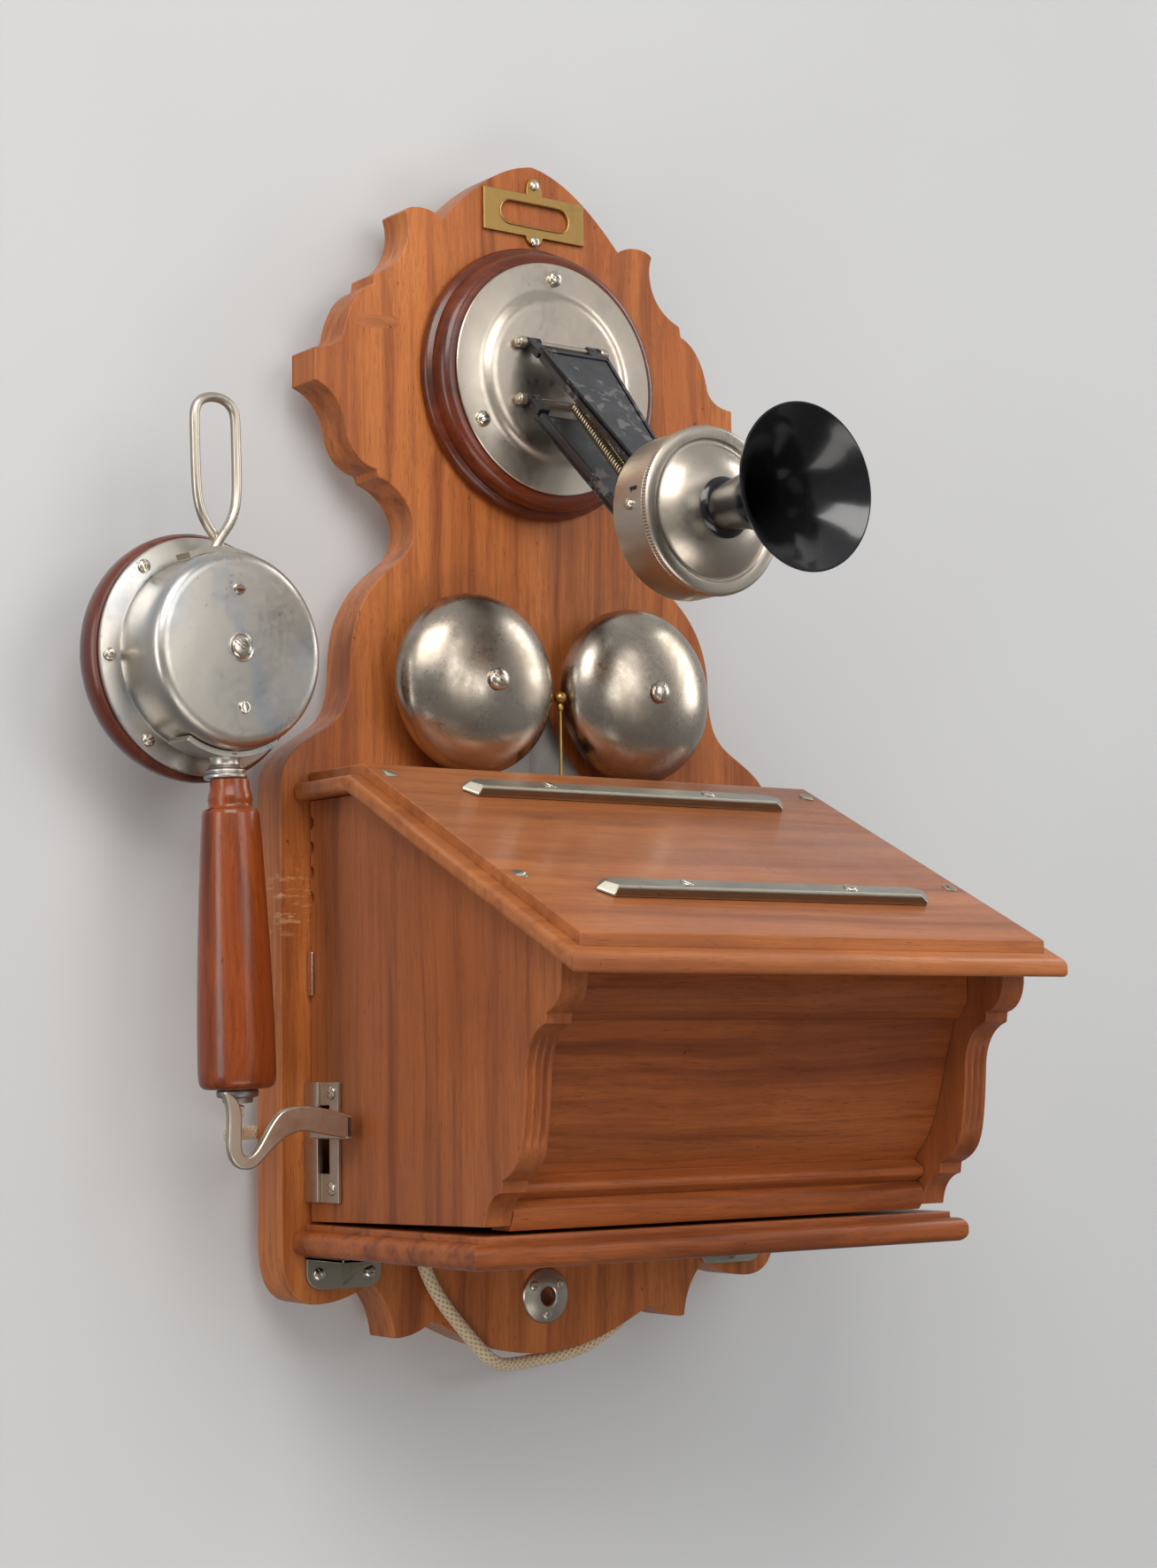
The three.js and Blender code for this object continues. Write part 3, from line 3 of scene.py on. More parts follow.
import bmesh
import bpy
from mathutils import Matrix, Vector


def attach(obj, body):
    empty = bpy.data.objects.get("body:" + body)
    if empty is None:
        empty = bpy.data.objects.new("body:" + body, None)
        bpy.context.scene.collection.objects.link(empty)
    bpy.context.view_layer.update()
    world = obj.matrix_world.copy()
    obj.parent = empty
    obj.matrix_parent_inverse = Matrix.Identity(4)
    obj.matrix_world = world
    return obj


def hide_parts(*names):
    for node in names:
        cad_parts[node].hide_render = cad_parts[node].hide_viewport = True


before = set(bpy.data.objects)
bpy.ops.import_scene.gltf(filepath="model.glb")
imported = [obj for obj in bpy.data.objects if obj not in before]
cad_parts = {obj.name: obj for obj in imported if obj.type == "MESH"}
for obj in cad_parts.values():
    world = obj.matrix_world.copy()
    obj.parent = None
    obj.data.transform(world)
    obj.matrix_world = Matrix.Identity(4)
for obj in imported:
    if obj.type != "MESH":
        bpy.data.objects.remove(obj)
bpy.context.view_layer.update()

MM = 0.001
TURN = 2 * math.pi

# The board and what stands on its face.
BOARD_BACK = -8
BOARD_FACE = -29
ESCUTCHEON_Z = -427.4
FIXING_HOLE = 4.3
GONG_RADIUS = 42.0
GONG_Z = -147.6

# The transmitter: its arms run from the pins down to the head. The drum and face are measured forwards.
PLATE_FACE = -49.3
PIN_Y = -52.3
PIN_SPREAD = 13.5
ARM_REACH, ARM_DROP = 78, 81.7
ARM_LENGTH = math.hypot(ARM_REACH, ARM_DROP)
ARM_ANGLE = math.atan2(ARM_DROP, ARM_REACH)
HEAD_Z = -ARM_DROP
CUP_RADIUS = 36.8
CUP_REAR = 137.3
CUP_FRONT = 159.3
FACE_BACK = CUP_FRONT + 0.3
HORN_LENGTH = 54
CATCH_Y = -151

# The housing, its desk and the shelf below it.
SIDE = 125
PANEL = 13
HOUSING_REAR = -30
HOUSING_FRONT = -164
HOUSING_BOTTOM = -387
SHELF_TOP = -389.2
DESK_TOP = -190.8
DESK_BEND = -74.3
DESK_SLOPE = math.radians(26.66)
DESK_FRONT = -232
DESK_THICKNESS = 12.8
CRANK_Y, CRANK_Z = -100, -310
HINGE_X, HINGE_Y = 134.5, -34.8

# The hook lever, and the receiver that hangs on it. Its case is measured forwards from its own middle.
LEVER_Z = -346
HAND_X, HAND_Y, HAND_Z = -179.7, -62, -329.6
CASE_Z = 184.5
CASE_RADIUS = 42.3
CASE_FRONT, CASE_BACK = 12.2, -17.4
CAP_NEAR, CAP_FAR = -19.7, -36.2

TO_FRONT = Matrix.Rotation(math.radians(90), 4, "X")  # a shape made along +Z then faces -Y
TO_RIGHT = Matrix.Rotation(math.radians(90), 4, "Y")  # and this turns it to face +X
HANDSET = (
    Matrix.Translation((HAND_X * MM, HAND_Y * MM, HAND_Z * MM))
    @ Matrix.Rotation(math.radians(-1.6), 4, "Y")
    @ Matrix.Rotation(math.radians(5.3), 4, "Z")
)


def at(x, y, z):
    return Matrix.Translation((x * MM, y * MM, z * MM))


# ---------------------------------------------------------------- camera, light and backdrop


def set_camera():
    yaw, pitch, roll = math.radians(36.12), math.radians(5.46), math.radians(-0.72)
    ahead = Vector((math.sin(yaw) * math.cos(pitch), math.cos(yaw) * math.cos(pitch), math.sin(pitch)))
    level = Vector((math.cos(yaw), -math.sin(yaw), 0))
    above = level.cross(ahead)
    right = level * math.cos(roll) + above * math.sin(roll)
    up = above * math.cos(roll) - level * math.sin(roll)
    turn = Matrix((right, up, -ahead)).transposed().to_4x4()
    data = bpy.data.cameras.new("camera")
    data.sensor_width = 36
    data.lens = 65.81
    camera = bpy.data.objects.new("camera", data)
    camera.matrix_world = at(-774.7, -1122.3, -318.4) @ turn
    bpy.context.scene.collection.objects.link(camera)
    bpy.context.scene.camera = camera


def soft_light(name, place, target, size, power, tint=(1, 1, 1)):
    data = bpy.data.lights.new(name, "AREA")
    data.shape = "RECTANGLE"
    data.size, data.size_y = size
    data.energy = power
    data.color = tint
    lamp = bpy.data.objects.new(name, data)
    lamp.location = place
    lamp.rotation_euler = (Vector(target) - Vector(place)).to_track_quat("-Z", "Y").to_euler()
    bpy.context.scene.collection.objects.link(lamp)


def set_light():
    """A bright ceiling over a darker room, and five soft lamps."""
    scene = bpy.context.scene
    scene.view_settings.view_transform = "Standard"
    world = bpy.data.worlds.new("studio")
    scene.world = world
    world.use_nodes = True
    tree = world.node_tree
    sky = tree.nodes["Background"]
    sky.inputs["Color"].default_value = (0.90, 0.92, 0.95, 1)
    parts = add(tree, "SeparateXYZ", None, Vector=add(tree, "TexCoord").outputs["Generated"])
    upward = ramp(tree, parts.outputs[2], -0.7, 0.8, 0.16, 0.62)
    towards_wall = ramp(tree, parts.outputs[1], -0.9, 0.5, 0.62, 1.15)
    tree.links.new(math_of(tree, "MULTIPLY", upward, towards_wall), sky.inputs["Strength"])
    centre = (0, -0.08, -0.17)
    soft_light("key", (-0.95, -1.5, 1.15), centre, (1.5, 1.1), 31, (1.0, 0.98, 0.95))
    soft_light("front", (0.35, -1.9, 0.35), centre, (0.9, 1.1), 8)
    soft_light("low", (-0.5, -1.3, -1.25), (0, -0.1, -0.35), (1.4, 0.6), 7, (1.0, 0.97, 0.93))
    soft_light("right", (1.6, -0.7, 0.5), centre, (0.5, 1.2), 9)
    soft_light("left", (-1.5, -0.35, -0.05), centre, (0.4, 1.2), 6)


# ---------------------------------------------------------------- shader nodes


def start_material(name, colour=(0.5, 0.5, 0.5), metallic=0.0, roughness=0.5, coat=0.0, coat_roughness=0.1):
    made = bpy.data.materials.new(name)
    made.use_nodes = True
    tree = made.node_tree
    skin = tree.nodes["Principled BSDF"]
    skin.inputs["Base Color"].default_value = (*colour, 1)
    skin.inputs["Metallic"].default_value = metallic
    skin.inputs["Roughness"].default_value = roughness
    skin.inputs["Coat Weight"].default_value = coat
    skin.inputs["Coat Roughness"].default_value = coat_roughness
    return made, tree, skin


def add(tree, kind, settings=None, **values):
    """A shader node. A value called i0, i1 and so on goes to the input of that number, others by name."""
    node = tree.nodes.new("ShaderNode" + kind)
    for key, value in (settings or {}).items():
        setattr(node, key, value)
    for key, value in values.items():
        numbered = key[0] == "i" and key[1:].isdigit()
        socket = node.inputs[int(key[1:]) if numbered else key.replace("_", " ")]
        if isinstance(value, bpy.types.NodeSocket):
            tree.links.new(value, socket)
        else:
            socket.default_value = value
    return node


def object_point(tree):
    return add(tree, "TexCoord").outputs["Object"]


def object_place(tree, scale=(1, 1, 1), turn=(0, 0, 0), shift=(0, 0, 0)):
    source = object_point(tree)
    return add(tree, "Mapping", None, Vector=source, Scale=scale, Rotation=turn, Location=shift).outputs[0]


def noise_at(tree, place, scale, detail=4.0, rough=0.55, distortion=0.0):
    return add(
        tree, "TexNoise", None, Vector=place, Scale=scale, Detail=detail, Roughness=rough,
        Distortion=distortion,
    ).outputs["Fac"]


def ramp(tree, value, low, high, from_=0.0, to=1.0):
    return add(tree, "MapRange", None, Value=value, i1=low, i2=high, i3=from_, i4=to).outputs[0]


def math_of(tree, kind, a, b=0.0):
    return add(tree, "Math", {"operation": kind}, i0=a, i1=b).outputs[0]


def mix_colour(tree, share, a, b):
    node = add(tree, "Mix", {"data_type": "RGBA"}, i0=share)
    for socket, value in ((node.inputs[6], a), (node.inputs[7], b)):
        if isinstance(value, bpy.types.NodeSocket):
            tree.links.new(value, socket)
        else:
            socket.default_value = (*value, 1)
    return node.outputs[2]


def bump(tree, skin, height, strength, distance):
    node = add(tree, "Bump", None, Height=height, Strength=strength, Distance=distance)
    tree.links.new(node.outputs[0], skin.inputs["Normal"])


# ---------------------------------------------------------------- finishes


def wood(name, grain, light, mid, dark, seed=0.0, gloss=0.35, coat=0.2, figure=1.0, rub=None):
    """Varnished timber. Its bands, dark streaks, fibres and pores are stretched along the grain.

    rub is a place and a radius in metres where the varnish is rubbed pale.
    """
    made, tree, skin = start_material(name, mid, 0, 0.4, coat, 0.2)
    skin.inputs["Specular IOR Level"].default_value = 0.3
    long_way = {"X": 0, "Y": 1, "Z": 2}[grain]
    wander = add(
        tree, "TexNoise", None, Vector=object_place(tree, shift=(seed, 2, 4)), Scale=6.0, Detail=2.0
    ).outputs["Color"]
    bend = add(tree, "VectorMath", {"operation": "SCALE"}, i0=wander, Scale=0.02 * figure).outputs[0]

    def stretched(across, along, shift=0.0):
        scale = [across] * 3
        scale[long_way] = along
        source = add(tree, "VectorMath", {"operation": "ADD"}, i0=object_point(tree), i1=bend).outputs[0]
        return add(
            tree, "Mapping", None, Vector=source, Scale=scale,
            Location=(seed + shift, seed * 0.7 - shift, seed * 1.3),
        ).outputs[0]

    bands = noise_at(tree, stretched(26 * figure, 2.6, 0.3), 1.0, 3, 0.5, 0.35)
    streaks = noise_at(tree, stretched(95 * figure, 3.2, 1.7), 1.0, 5, 0.62, 0.25)
    lines = noise_at(tree, stretched(330, 7, 2.9), 1.0, 4, 0.6)
    fibre = noise_at(tree, stretched(1300, 38), 1.0, 3, 0.6)
    pores = ramp(tree, noise_at(tree, stretched(2300, 120), 1.0, 2, 0.5), 0.60, 0.70)
    mottle = noise_at(tree, object_place(tree, shift=(seed, 8, 1)), 11, 4, 0.55)
    deep = tuple(c * 0.4 for c in dark)
    base = mix_colour(tree, ramp(tree, bands, 0.33, 0.66), light, mid)
    base = mix_colour(tree, ramp(tree, streaks, 0.46, 0.70, 0.0, 0.85), base, dark)
    base = mix_colour(tree, ramp(tree, lines, 0.50, 0.74, 0.0, 0.45), base, dark)
    base = mix_colour(tree, ramp(tree, mottle, 0.5, 0.75, 0.0, 0.35), base, dark)
    base = mix_colour(tree, ramp(tree, fibre, 0.45, 0.72, 0.0, 0.30), base, dark)
    base = mix_colour(tree, math_of(tree, "MULTIPLY", pores, 0.45), base, deep)
    flecks = noise_at(tree, object_place(tree, shift=(seed, 3, 1)), 230, 2, 0.5)
    specks = ramp(tree, flecks, 0.745, 0.765, 0, 0.6)
    base = mix_colour(tree, specks, base, deep)
    if rub:
        spot, radius = rub
        gap = add(
            tree, "VectorMath", {"operation": "DISTANCE"}, i0=object_point(tree), i1=spot
        ).outputs["Value"]
        near = ramp(tree, gap, radius, radius * 0.3)
        marks = ramp(tree, noise_at(tree, object_place(tree, (90, 90, 520)), 1.0, 4, 0.65), 0.53, 0.62)
        pale = math_of(tree, "MULTIPLY", near, math_of(tree, "MULTIPLY", marks, 0.75))
        base = mix_colour(tree, pale, base, (0.62, 0.36, 0.17))
    tree.links.new(base, skin.inputs["Base Color"])
    worn = noise_at(tree, object_place(tree, shift=(seed, 1, 2)), 24, 5, 0.6)
    tree.links.new(ramp(tree, worn, 0.3, 0.75, gloss, gloss + 0.2), skin.inputs["Roughness"])
    height = math_of(tree, "SUBTRACT", math_of(tree, "MULTIPLY", fibre, 0.4), pores)
    bump(tree, skin, height, 0.2, 0.00015)
    return made


def plated(name, base, dark, roughness=0.27, stain=0.5, scratch=1.0, rust=0.0, blue=0.0, seed=0.0):
    """Old nickel plate: satin metal with cloudy tarnish, fine scratches and a few specks of rust."""
    made, tree, skin = start_material(name, base, 1.0, roughness)
    place = object_place(tree, shift=(seed, seed * 0.6, -seed))
    cloud = noise_at(tree, place, 26, 6, 0.62, 0.6)
    fine = noise_at(tree, place, 420, 4, 0.65)
    spots = ramp(tree, noise_at(tree, place, 120, 3, 0.6, 0.3), 0.66, 0.82)
    colour = mix_colour(tree, ramp(tree, cloud, 0.38, 0.72, 0, stain), base, dark)
    colour = mix_colour(
        tree, math_of(tree, "MULTIPLY", spots, 0.3 * stain), colour, tuple(c * 0.55 for c in dark)
    )
    if blue:
        patch = noise_at(tree, object_place(tree, shift=(seed + 4, 2, 5)), 21, 5, 0.6, 1.2)
        colour = mix_colour(tree, ramp(tree, patch, 0.5, 0.66, 0, blue), colour, (0.36, 0.42, 0.50))
    if rust:
        fleck = noise_at(tree, object_place(tree, shift=(seed + 9, 7, 3)), 330, 2, 0.5)
        speck = ramp(tree, fleck, 0.72, 0.76, 0, rust)
        colour = mix_colour(tree, speck, colour, (0.10, 0.045, 0.02))
        tree.links.new(math_of(tree, "SUBTRACT", 1.0, speck), skin.inputs["Metallic"])
    tree.links.new(colour, skin.inputs["Base Color"])
    broad = ramp(tree, cloud, 0.3, 0.75, roughness - 0.06, roughness + 0.14)
    gleam = math_of(tree, "ADD", broad, ramp(tree, fine, 0.3, 0.7, -0.03, 0.05))
    tree.links.new(gleam, skin.inputs["Roughness"])
    hair = noise_at(tree, object_place(tree, (60, 900, 900), (0.5, 0.3, 0.9), (seed, 0, 0)), 1.0, 2, 0.6)
    cross = noise_at(tree, object_place(tree, (900, 60, 900), (0.2, 0.9, 0.4), (0, seed, 0)), 1.0, 2, 0.6)
    lines = math_of(tree, "ADD", ramp(tree, hair, 0.6, 0.72), ramp(tree, cross, 0.62, 0.74))
    scored = math_of(tree, "MULTIPLY", lines, -0.5 * scratch)
    bump(tree, skin, math_of(tree, "ADD", scored, math_of(tree, "MULTIPLY", fine, 0.3)), 0.09, 0.00005)
    return made


def enamel(name, paint, bare, seed):
    """Thick black paint on cast iron. It has an orange-peel skin and is rubbed through in small chips."""
    made, tree, skin = start_material(name, paint, 0.0, 0.36, 0.25, 0.25)
    place = object_place(tree, shift=(seed, 0.4, 0.2))
    broad = math_of(tree, "MULTIPLY", noise_at(tree, place, 21, 2, 0.5), 0.5)
    chips = ramp(tree, math_of(tree, "ADD", noise_at(tree, place, 115, 5, 0.65), broad), 0.85, 0.89)
    dust = ramp(tree, noise_at(tree, place, 60, 4), 0.4, 0.7, 0, 0.6)
    colour = mix_colour(tree, dust, paint, tuple(c * 2.6 for c in paint))
    tree.links.new(mix_colour(tree, chips, colour, bare), skin.inputs["Base Color"])
    tree.links.new(ramp(tree, noise_at(tree, place, 90, 5), 0.3, 0.7, 0.26, 0.5), skin.inputs["Roughness"])
    peel = noise_at(tree, place, 620, 3, 0.5)
    bump(tree, skin, math_of(tree, "SUBTRACT", math_of(tree, "MULTIPLY", peel, 0.5), chips), 0.3, 0.00015)
    return made


def hard_rubber(name):
    """Polished black rubber with faint smears and dust."""
    made, tree, skin = start_material(name, (0.008, 0.008, 0.009), 0.0, 0.16, 0.3, 0.08)
    place = object_place(tree)
    smear = noise_at(tree, place, 32, 5, 0.6, 0.5)
    tree.links.new(ramp(tree, smear, 0.3, 0.75, 0.11, 0.27), skin.inputs["Roughness"])
    dust = ramp(tree, noise_at(tree, place, 240, 3), 0.55, 0.75, 0, 0.5)
    colour = mix_colour(tree, dust, (0.006, 0.006, 0.007), (0.02, 0.018, 0.016))
    tree.links.new(colour, skin.inputs["Base Color"])
    bump(tree, skin, noise_at(tree, place, 500, 3), 0.05, 0.00005)
    return made


def braid(name):
    """Slightly soiled cotton braid. Its strands cross in both directions round the cord."""
    made, tree, skin = start_material(name, (0.6, 0.48, 0.3), 0.0, 0.9)
    skin.inputs["Sheen Weight"].default_value = 0.35
    skin.inputs["Sheen Roughness"].default_value = 0.5
    uv = add(tree, "UVMap", {"uv_map": "along"}).outputs[0]
    parts = add(tree, "SeparateXYZ", None, Vector=uv)
    u, v = parts.outputs[0], parts.outputs[1]

    def strands(lean):
        phase = math_of(
            tree, "ADD", math_of(tree, "MULTIPLY", u, 7.0), math_of(tree, "MULTIPLY", v, lean * 5.0)
        )
        return math_of(tree, "ABSOLUTE", math_of(tree, "SINE", math_of(tree, "MULTIPLY", phase, math.pi)))

    over, under = strands(1.0), strands(-1.0)
    weave = math_of(tree, "MAXIMUM", over, math_of(tree, "MULTIPLY", under, 0.9))
    soil = noise_at(tree, object_place(tree), 38, 5, 0.6)
    yarn = noise_at(tree, object_place(tree), 1500, 2, 0.5)
    # The colour darkens towards the strands' edges and where they cross: painted shade in the gaps of the
    # braid.
    colour = mix_colour(tree, ramp(tree, weave, 0.35, 1.0), (0.34, 0.225, 0.115), (0.86, 0.68, 0.43))
    colour = mix_colour(tree, ramp(tree, soil, 0.35, 0.75, 0, 0.5), colour, (0.44, 0.31, 0.17))
    colour = mix_colour(tree, ramp(tree, yarn, 0.45, 0.7, 0, 0.3), colour, (0.78, 0.68, 0.5))
    tree.links.new(colour, skin.inputs["Base Color"])
    bump(tree, skin, math_of(tree, "ADD", weave, math_of(tree, "MULTIPLY", yarn, 0.3)), 0.8, 0.0005)
    return made


def wound_wire(name, base, dark, axis, pitch):
    """Insulated wire laid in close turns along an axis."""
    made, tree, skin = start_material(name, base, 0.0, 0.6)
    lay = add(tree, "SeparateXYZ", None, Vector=object_point(tree)).outputs["XYZ".index(axis)]
    phase = math_of(tree, "MULTIPLY", lay, math.pi / (pitch * MM))
    turns = math_of(tree, "ABSOLUTE", math_of(tree, "SINE", phase))
    # The colour is darker between the turns: painted shade in the grooves of the winding.
    tree.links.new(mix_colour(tree, ramp(tree, turns, 0.05, 0.8), dark, base), skin.inputs["Base Color"])
    bump(tree, skin, turns, 0.8, 0.0004)
    return made


def plain_paint(name, base, dark, roughness, seed):
    """A dull even coat with darker patches."""
    made, tree, skin = start_material(name, base, 0.0, roughness)
    place = object_place(tree, shift=(seed, 1, 2))
    patches = ramp(tree, noise_at(tree, place, 45, 6, 0.65), 0.4, 0.72, 0, 0.75)
    tree.links.new(mix_colour(tree, patches, base, dark), skin.inputs["Base Color"])
    gleam = ramp(tree, noise_at(tree, place, 130, 4), 0.3, 0.7, roughness - 0.1, roughness + 0.15)
    tree.links.new(gleam, skin.inputs["Roughness"])
    bump(tree, skin, noise_at(tree, place, 700, 4), 0.15, 0.0001)
    return made


board_wood = wood(
    "walnut_board", "Z", (0.57, 0.185, 0.045), (0.43, 0.122, 0.027), (0.19, 0.042, 0.010), 0.0, 0.34,
    0.12, 1.0, ((-0.134, -0.029, -0.249), 0.02),
)
side_wood = wood(
    "walnut_side", "Z", (0.38, 0.112, 0.030), (0.30, 0.082, 0.021), (0.155, 0.036, 0.010), 3.1, 0.38,
    0.1, 0.7,
)
front_wood = wood(
    "walnut_front", "X", (0.41, 0.116, 0.030), (0.30, 0.078, 0.019), (0.120, 0.026, 0.007), 5.7, 0.33,
    0.16, 1.0,
)
desk_wood = wood(
    "walnut_desk", "X", (0.47, 0.160, 0.046), (0.38, 0.120, 0.033), (0.22, 0.058, 0.015), 8.2, 0.31,
    0.22, 0.8,
)
rosette_wood = wood(
    "mahogany_rosette", "X", (0.19, 0.036, 0.009), (0.12, 0.020, 0.005), (0.05, 0.008, 0.003), 1.9, 0.2,
    0.5, 1.0,
)
handle_wood = wood(
    "mahogany_handle", "Z", (0.29, 0.058, 0.007), (0.20, 0.034, 0.004), (0.075, 0.010, 0.002), 6.4, 0.2,
    0.4, 1.5,
)
cap_wood = wood(
    "mahogany_cap", "Z", (0.17, 0.036, 0.014), (0.11, 0.022, 0.009), (0.05, 0.010, 0.005), 2.4, 0.22,
    0.5, 1.0,
)
batten_wood = wood(
    "pine_batten", "X", (0.50, 0.33, 0.18), (0.42, 0.26, 0.13), (0.30, 0.17, 0.08), 2.2, 0.6, 0.0
)
NICKEL, TARNISH = (0.58, 0.51, 0.425), (0.31, 0.255, 0.19)
nickel = plated("nickel_satin", NICKEL, TARNISH, 0.31, 0.4, 1.0, 0.0, 0.0, 0.0)
gong_nickel = plated(
    "nickel_gong", (0.58, 0.505, 0.415), (0.20, 0.155, 0.11), 0.22, 0.8, 1.2, 0.25, 0.12, 2.0
)
disc_nickel = plated(
    "nickel_receiver", (0.62, 0.575, 0.51), (0.40, 0.36, 0.30), 0.30, 0.45, 1.4, 0.5, 0.5, 4.0
)
bar_nickel = plated("nickel_bar", (0.47, 0.435, 0.36), (0.27, 0.245, 0.19), 0.36, 0.6, 1.5, 0.4, 0.0, 6.0)
lever_nickel = plated("nickel_lever", (0.60, 0.52, 0.42), (0.36, 0.29, 0.21), 0.36, 0.5, 1.4, 0.3, 0.0, 7.0)
screw_nickel = plated("nickel_screw", (0.68, 0.61, 0.51), (0.34, 0.28, 0.21), 0.22, 0.4, 1.0, 0.0, 0.0, 8.0)
steel = plated("plain_steel", (0.38, 0.36, 0.33), (0.20, 0.175, 0.15), 0.38, 0.7, 1.0, 0.6, 0.0, 9.0)
spring_steel = plated("spring_steel", (0.62, 0.50, 0.34), (0.34, 0.25, 0.15), 0.28, 0.5, 0.6, 0.0, 0.0, 10.0)
brass = plated("dull_brass", (0.50, 0.31, 0.105), (0.27, 0.155, 0.05), 0.36, 0.6, 1.0, 0.0, 0.0, 11.0)
arm_enamel = enamel("black_enamel", (0.012, 0.012, 0.013), (0.10, 0.095, 0.09), 0.0)
ebonite = hard_rubber("polished_ebonite")
cotton = braid("cotton_braid")
magnet_paint = plain_paint("magnet_paint", (0.20, 0.03, 0.022), (0.07, 0.014, 0.012), 0.45, 1.0)
green_silk_x = wound_wire("silk_wire_lengthwise", (0.09, 0.17, 0.08), (0.02, 0.045, 0.02), "X", 0.55)
green_silk_z = wound_wire("silk_wire_upright", (0.09, 0.17, 0.08), (0.02, 0.045, 0.02), "Z", 0.55)
# Near black and matte: painted shade for screw slots, the drum's catch slot and the discs seen through
# openings.
shade_black = plain_paint("painted_shade_matte", (0.012, 0.011, 0.010), (0.02, 0.017, 0.014), 0.9, 5.0)

# ---------------------------------------------------------------- shaping


def curve(a, b, c, d, n=None):
    """Points along a curve from a to d, without a itself, about 2 mm apart."""
    n = n or min(16, max(3, round((math.dist(a, b) + math.dist(b, c) + math.dist(c, d)) / 2.4)))
    found = []
    for i in range(1, n + 1):
        t = i / n
        shares = ((1 - t) ** 3, 3 * t * (1 - t) ** 2, 3 * t * t * (1 - t), t**3)
        found.append(tuple(sum(s * p[k] for s, p in zip(shares, (a, b, c, d))) for k in (0, 1)))
    return found


def arc(centre, radius, start, end, n=8, squash=1.0):
    """Points on an arc between two angles in degrees, both ends included."""
    angles = [math.radians(start + (end - start) * i / n) for i in range(n + 1)]
    return [(centre[0] + radius * math.cos(a), centre[1] + radius * squash * math.sin(a)) for a in angles]


def outline(start, *moves):
    """An outline from lines (2 numbers), quadratic curves (4) and cubic curves (6), as a list of points."""
    points = [start]
    for move in moves:
        here = points[-1]
        if len(move) == 2:
            points.append(move)
        elif len(move) == 4:
            pull, end = move[:2], move[2:]
            leave = [here[k] + (pull[k] - here[k]) * 2 / 3 for k in (0, 1)]
            arrive = [end[k] + (pull[k] - end[k]) * 2 / 3 for k in (0, 1)]
            points += curve(here, leave, arrive, end)
        else:
            points += curve(here, move[:2], move[2:4], move[4:])
    return points


def spun(profile, steps=96):
    """A body turned about Z from a closed profile of (radius, height)."""
    shape = bmesh.new()
    verts = [shape.verts.new((r * MM, 0, h * MM)) for r, h in profile]
    edges = []
    for i, (r, _) in enumerate(profile):
        j = (i + 1) % len(profile)
        if r > 0 or profile[j][0] > 0:
            edges.append(shape.edges.new((verts[i], verts[j])))
    bmesh.ops.spin(
        shape, geom=verts + edges, axis=(0, 0, 1), cent=(0, 0, 0), angle=TURN, steps=steps,
        use_merge=True,
    )
    bmesh.ops.remove_doubles(shape, verts=shape.verts, dist=1e-7)
    bmesh.ops.recalc_face_normals(shape, faces=shape.faces)
    return shape


def verts_of(grown):
    """The new vertices that an extrusion gives back."""
    return [part for part in grown["geom"] if isinstance(part, bmesh.types.BMVert)]


def cut_at(shape, place, facing, near=1e-6):
    """New edges where a plane crosses the shape."""
    whole = shape.verts[:] + shape.edges[:] + shape.faces[:]
    bmesh.ops.bisect_plane(shape, geom=whole, plane_co=place, plane_no=facing, dist=near)


def ease(shape, edges, width, segments):
    """Rounds the edges by so many millimetres."""
    bmesh.ops.bevel(
        shape, geom=edges, offset=width * MM, offset_type="OFFSET", segments=segments,
        profile=0.5, affect="EDGES", material=-1,
    )


def is_level(edge):
    return abs(edge.verts[0].co.z - edge.verts[1].co.z) < 1e-9


def slab(points, low, high, holes=()):
    """An outline in the XY plane raised from low to high along Z."""
    shape = bmesh.new()
    edges = []
    for loop in (points, *holes):
        verts = [shape.verts.new((x * MM, y * MM, low * MM)) for x, y in loop]
        edges += [shape.edges.new((verts[i], verts[(i + 1) % len(verts)])) for i in range(len(verts))]
    if holes:
        bmesh.ops.triangle_fill(shape, use_beauty=True, use_dissolve=True, edges=edges)
    else:
        shape.faces.new([e.verts[0] for e in edges])
    raised = bmesh.ops.extrude_face_region(shape, geom=shape.faces[:], use_keep_orig=True)
    bmesh.ops.translate(shape, vec=(0, 0, (high - low) * MM), verts=verts_of(raised))
    bmesh.ops.recalc_face_normals(shape, faces=shape.faces)
    return shape


def layer(points, a, b):
    """A slab between two heights, whichever is the lower."""
    return slab(points, min(a, b), max(a, b))


def front_slab(points, back, front, holes=()):
    """An outline drawn in X and Z, filled from y = back to y = front."""
    shape = slab(points, -back, -front, holes)
    return moved(shape, TO_FRONT)


def side_slab(points, x0, x1, holes=()):
    """An outline drawn in Y and Z, filled from x0 to x1."""
    shape = slab(points, x0, x1, holes)
    turn = Matrix(((0, 0, 1, 0), (1, 0, 0, 0), (0, 1, 0, 0), (0, 0, 0, 1)))
    return moved(shape, turn)


def moved(shape, *turns):
    for turn in turns:
        bmesh.ops.transform(shape, matrix=turn, verts=shape.verts)
    return shape


def block(x0, x1, y0, y1, z0, z1, soften=0.0):
    """A box between two corners, with all its edges rounded where soften is given."""
    shape = bmesh.new()
    size = Matrix.Diagonal((abs(x1 - x0) * MM, abs(y1 - y0) * MM, abs(z1 - z0) * MM, 1))
    middle = at((x0 + x1) / 2, (y0 + y1) / 2, (z0 + z1) / 2)
    bmesh.ops.create_cube(shape, size=1, matrix=middle @ size)
    if soften:
        ease(shape, shape.edges[:], soften, 3)
    return shape


def bar(radius, z0, z1, round_ends=0.4, steps=32):
    """A round bar along Z with eased ends."""
    e = min(round_ends, radius * 0.9)
    return spun(
        [(0, z0), (radius - e, z0), (radius, z0 + e), (radius, z1 - e), (radius - e, z1), (0, z1)],
        steps,
    )


